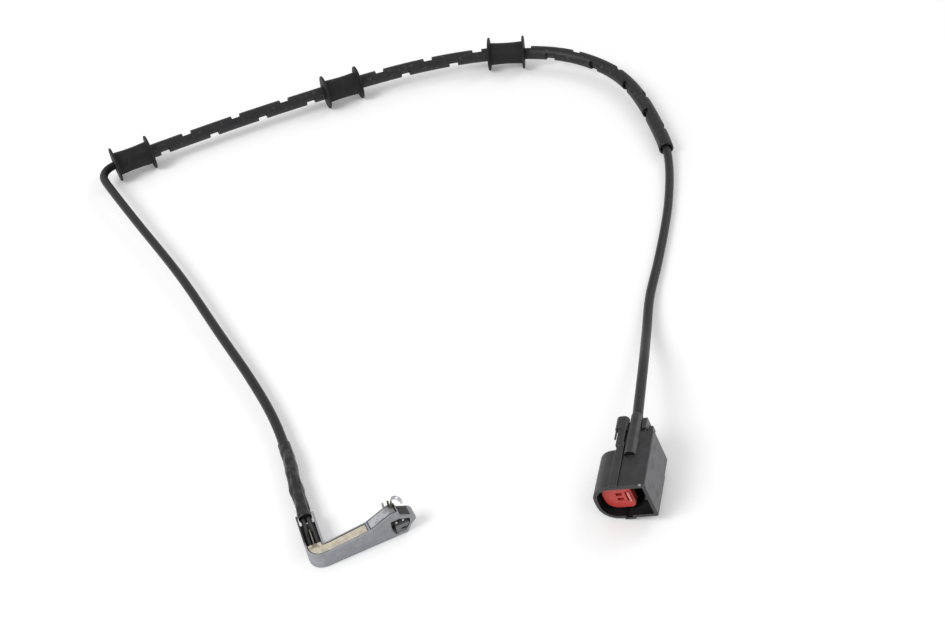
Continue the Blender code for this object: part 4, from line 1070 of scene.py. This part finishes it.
# Pale edges: wear and a painted highlight.
laid_over(
    wear_pad,
    both(wear_pad, mask_of(wear_pad, EDGE_WEAR_AND_HIGHLIGHT, Width=0.15 * MM), 0.6),
    (0.16, 0.13, 0.13),
)
pad_corner = head_place @ Vector((HEAD_LENGTH - 3.6 * MM, 4.3 * MM, 10.4 * MM))
laid_over(
    wear_pad,
    both(
        wear_pad,
        mask_of(wear_pad, EDGE_WEAR_AND_HIGHLIGHT, Width=0.3 * MM),
        mask_of(wear_pad, NEAR_PLACE, Place=pad_corner, Reach=1.9 * MM),
    ),
    (0.42, 0.06, 0.08),
)
wear_block = dressed("sensing_tip", "wear_pad_block", wear_pad, bevel=0.06 * MM)
pad_middle = head_place @ Vector((HEAD_LENGTH - 3.7 * MM, ARM_WIDTH / 2, 9.6 * MM))
wear_block.data.transform(
    Matrix.Translation(pad_middle)
    @ Matrix.Rotation(HEAD_TURN, 4, "Z")
    @ Matrix.Diagonal((*PAD_TO_POCKET, 1.0))
    @ Matrix.Rotation(-HEAD_TURN, 4, "Z")
    @ Matrix.Translation(-pad_middle)
)


# Spring clip. One strip of tinned spring steel, stamped with two prongs and a
# curled finger and bent over the ramp. It has worn to a brassy brown along its
# edges and at the root of the finger.

clip_steel = moulded(
    "clip_tinned_steel",
    (0.66, 0.67, 0.70),
    roughness=0.30,
    scale=1100.0,
    contrast=0.35,
    depth=0.05 * MM,
)
clip_steel.node_tree.nodes["Principled BSDF"].inputs["Metallic"].default_value = 0.85
laid_over(
    clip_steel,
    both(clip_steel, mask_of(clip_steel, PATCHES, Scale=640.0, Low=0.48, High=0.60), 0.85),
    (0.36, 0.36, 0.40),
    roughness=0.45,
)
laid_over(
    clip_steel,
    both(clip_steel, mask_of(clip_steel, EDGE_WEAR_AND_HIGHLIGHT, Width=0.26 * MM), 0.85),
    (0.16, 0.13, 0.07),
    roughness=0.4,
)
finger_root = head_place @ Vector((HEAD_LENGTH - 7.4 * MM, 3.9 * MM, HEAD_HEIGHT + 1.2 * MM))
laid_over(
    clip_steel,
    both(
        clip_steel,
        mask_of(clip_steel, NEAR_PLACE, Place=finger_root, Reach=4.6 * MM),
        mask_of(clip_steel, PATCHES, Scale=900.0, Low=0.25, High=0.50),
    ),
    (0.085, 0.072, 0.030),
    roughness=0.45,
)
finger_back = head_place @ Vector((HEAD_LENGTH - 7.3 * MM, 3.6 * MM, HEAD_HEIGHT + 3.0 * MM))
laid_over(
    clip_steel,
    mask_of(clip_steel, NEAR_PLACE, Place=finger_back, Reach=3.2 * MM),
    (0.060, 0.052, 0.022),
    roughness=0.45,
)
dressed("spring_clip", "spring_clip_strip", clip_steel, bevel=0.05 * MM)


# Connector housing. One moulding of black glass-filled nylon: a shroud with one
# round and one flat side, a key under it, the latch with its thumb pad, and the
# boss that the cable goes into. It lies on its round side and its key.

CONNECTOR_MOUTH = (76.1 * MM, -158.4 * MM)
CONNECTOR_TURN = radians(-19.0)
CONNECTOR_ROLL = radians(-17.5)
CONNECTOR_HEIGHT = 17.4 * MM
CONNECTOR_LEFT = -11.2 * MM
CONNECTOR_RIGHT = 10.3 * MM
ROUND_SIDE_RADIUS = 7.0 * MM
BOSS_ACROSS = 2.7 * MM
BOSS_END = 33.8 * MM
LIP_LENGTH = 0.5 * MM
LIP_RADIUS_AT_BOSS = 2.12 * MM
LIP_RADIUS_AT_END = 2.03 * MM
MOUTH_FROM = 1.0 * MM
MOUTH_TO = 15.1 * MM
connector_rest_height = (
    (CONNECTOR_HEIGHT / 2 - ROUND_SIDE_RADIUS) * cos(CONNECTOR_ROLL)
    + (CONNECTOR_LEFT + ROUND_SIDE_RADIUS) * sin(CONNECTOR_ROLL)
    + ROUND_SIDE_RADIUS
)
connector_place = (
    Matrix.Translation(Vector((*CONNECTOR_MOUTH, connector_rest_height)) + LEAD_SHIFT)
    @ Matrix.Rotation(CONNECTOR_TURN, 4, "Z")
    @ Matrix.Rotation(CONNECTOR_ROLL, 4, "Y")
)

connector_nylon = moulded(
    "connector_black_nylon",
    (0.023, 0.022, 0.0235),
    roughness=0.46,
    scale=1300.0,
    contrast=0.4,
    depth=0.05 * MM,
)
laid_over(
    connector_nylon,
    both(connector_nylon, mask_of(connector_nylon, PATCHES, Scale=260.0, Low=0.46, High=0.70), 0.35),
    (0.055, 0.054, 0.055),
    roughness=0.55,
)
# Painted light: the flat side is painted pale all over, and the upper left a little, broken up into
# patches.
PAINTED_LIGHT_SIDES = {
    "flat side": ((1.0, 0.0, 0.0), (0.175, 0.172, 0.182), 0.9),
    "upper left": ((-0.9, -0.1, 0.42), (0.060, 0.060, 0.060), 0.8),
}
for direction, side_light_colour, side_light_share in PAINTED_LIGHT_SIDES.values():
    way = connector_place.to_3x3() @ Vector(direction).normalized()
    side_light_patches = mask_of(connector_nylon, PATCHES, Scale=230.0, Low=0.12, High=0.52)
    laid_over(
        connector_nylon,
        both(
            connector_nylon,
            mask_of(connector_nylon, FACING, Direction=way),
            both(connector_nylon, side_light_patches, side_light_share),
        ),
        side_light_colour,
        roughness=0.6,
    )
# Pale edges and rims: wear and a painted highlight.
laid_over(
    connector_nylon,
    both(
        connector_nylon,
        mask_of(connector_nylon, EDGE_WEAR_AND_HIGHLIGHT, Width=0.22 * MM),
        mask_of(connector_nylon, PATCHES, Scale=500.0, Low=0.20, High=0.5),
    ),
    (0.20, 0.20, 0.205),
    roughness=0.5,
)
bare_spot = connector_place @ Vector((CONNECTOR_RIGHT - 1.9 * MM, 0.2 * MM, CONNECTOR_HEIGHT / 2))
laid_over(
    connector_nylon,
    both(
        connector_nylon,
        mask_of(connector_nylon, NEAR_PLACE, Place=bare_spot, Reach=0.8 * MM),
        mask_of(connector_nylon, PATCHES, Scale=900.0, Low=0.3, High=0.5),
    ),
    (0.45, 0.45, 0.44),
    roughness=0.6,
)
# Painted shade in the crevices of the connector.
laid_over(
    connector_nylon, mask_of(connector_nylon, PAINTED_CREVICE_SHADE, Reach=1.0 * MM), (0.008, 0.008, 0.008)
)
shroud = dressed("connector_housing", "connector_shroud", connector_nylon)

# A short lip on the boss grips the jacket.
lip_shape = bmesh.new()
bmesh.ops.create_cone(
    lip_shape,
    cap_ends=True,
    segments=32,
    radius1=LIP_RADIUS_AT_BOSS,
    radius2=LIP_RADIUS_AT_END,
    depth=LIP_LENGTH,
    matrix=connector_place
    @ Matrix.Translation((BOSS_ACROSS, BOSS_END + LIP_LENGTH / 2, CONNECTOR_HEIGHT / 2))
    @ Matrix.Rotation(radians(-90.0), 4, "X"),
)
lip = piece_of("wire_boss_lip", lip_shape, connector_nylon, radians(40.0))

# The inside of the mouth gets its own darker nylon, without the pale patches and scuffs of the
# outside: painted shade in the mouth.
mouth_nylon_shaded = moulded(
    "mouth_nylon_painted_shade",
    (0.008, 0.008, 0.009),
    roughness=0.6,
    scale=1300.0,
    contrast=0.4,
    depth=0.05 * MM,
    specular=0.2,
)
shroud.data.materials.append(mouth_nylon_shaded)
into_connector = connector_place.inverted()
for polygon in shroud.data.polygons:
    centre = into_connector @ polygon.center
    outward = into_connector.to_3x3() @ polygon.normal
    looks_inward = centre.x * outward.x + centre.z * outward.z < 0.0
    looks_along = abs(outward.y) > 0.9
    if MOUTH_FROM < centre.y < MOUTH_TO and (looks_inward or looks_along):
        polygon.material_index = 1


# Terminal carrier and lock. The moulded black tower in the mouth, and the red
# polyester lock that is pushed over it last, with a slot in front of each
# terminal, a groove down its middle and a raised latch bar.

LOCK_SETBACK = 3.0 * MM
LOCK_LENGTH = 3.4 * MM
LOCK_SLOT_SIZE = (2.5 * MM, 1.7 * MM)
LOCK_SLOTS = {
    "upper": ((-2.35 * MM, 1.1 * MM), LOCK_SLOT_SIZE, LOCK_LENGTH),
    "lower": ((-2.35 * MM, -1.5 * MM), LOCK_SLOT_SIZE, LOCK_LENGTH),
    "groove": ((0.55 * MM, -0.2 * MM), (1.1 * MM, 5.2 * MM), 1.5 * MM),
}
CUT_BEYOND = 0.1 * MM
BAR_PLACE = (1.55 * MM, LOCK_SETBACK - 0.1 * MM, 0.1 * MM)
BAR_SIZE = (0.9 * MM, 1.4 * MM, 4.9 * MM)
tower_nylon = moulded(
    "tower_nylon",
    (0.030, 0.030, 0.031),
    roughness=0.5,
    scale=1300.0,
    contrast=0.4,
    depth=0.04 * MM,
)
dressed("terminal_carrier", "terminal_tower", tower_nylon)

lock_red = moulded(
    "lock_red_polyester",
    (0.60, 0.060, 0.052),
    roughness=0.36,
    scale=1300.0,
    contrast=0.2,
    depth=0.04 * MM,
)
# Pale edges: wear and a painted highlight.
laid_over(
    lock_red,
    both(lock_red, mask_of(lock_red, EDGE_WEAR_AND_HIGHLIGHT, Width=0.18 * MM), 0.5),
    (0.66, 0.20, 0.17),
)
# Painted shade in the slots and the groove.
laid_over(lock_red, mask_of(lock_red, PAINTED_CREVICE_SHADE, Reach=0.8 * MM), (0.04, 0.004, 0.006))
lock_cuts = []
for (across, height), (width, tall), depth in LOCK_SLOTS.values():
    lock_cuts.append(
        connector_place
        @ Matrix.Translation((across, LOCK_SETBACK + depth / 2 - CUT_BEYOND, height))
        @ Matrix.Diagonal((width, depth + 2 * CUT_BEYOND, tall, 1.0))
    )
dressed("terminal_lock", "terminal_lock_cap", lock_red, cuts=lock_cuts)

bar_shape = bmesh.new()
bmesh.ops.create_cube(
    bar_shape,
    size=1.0,
    matrix=connector_place
    @ Matrix.Translation(BAR_PLACE)
    @ Matrix.Diagonal((*BAR_SIZE, 1.0)),
)
# The bar is a paler copy of the lock's red: a painted highlight on the raised bar.
lock_bar_highlit = moulded(
    "lock_bar_polyester_highlit",
    (0.80, 0.25, 0.21),
    roughness=0.35,
    scale=1300.0,
    contrast=0.2,
    depth=0.04 * MM,
)
lock_bar = piece_of("terminal_lock_bar", bar_shape, lock_bar_highlit, radians(40.0))
eased(lock_bar, width=0.2 * MM, segments=3, limit=40.0)


# Perimeter seal. A moulded black silicone ring, stretched round the foot of the
# tower, which keeps water out of the mouth once the connector is plugged in.

seal_silicone = moulded(
    "seal_silicone",
    (0.045, 0.044, 0.045),
    roughness=0.6,
    scale=1000.0,
    contrast=0.3,
    depth=0.04 * MM,
)
dressed("perimeter_seal", "perimeter_seal_ring", seal_silicone, bevel=0.1 * MM)


# Terminals. Two box terminals, stamped and folded from tinned copper alloy. Each
# sits in the tower behind a slot of the lock.

terminal_tin = moulded(
    "terminal_tin",
    (0.62, 0.60, 0.55),
    roughness=0.3,
    scale=2000.0,
    contrast=0.3,
    depth=0.02 * MM,
)
terminal_tin.node_tree.nodes["Principled BSDF"].inputs["Metallic"].default_value = 1.0
for terminal_name in ("terminal_upper", "terminal_lower"):
    dressed(terminal_name, terminal_name + "_box", terminal_tin)

bpy.context.view_layer.update()
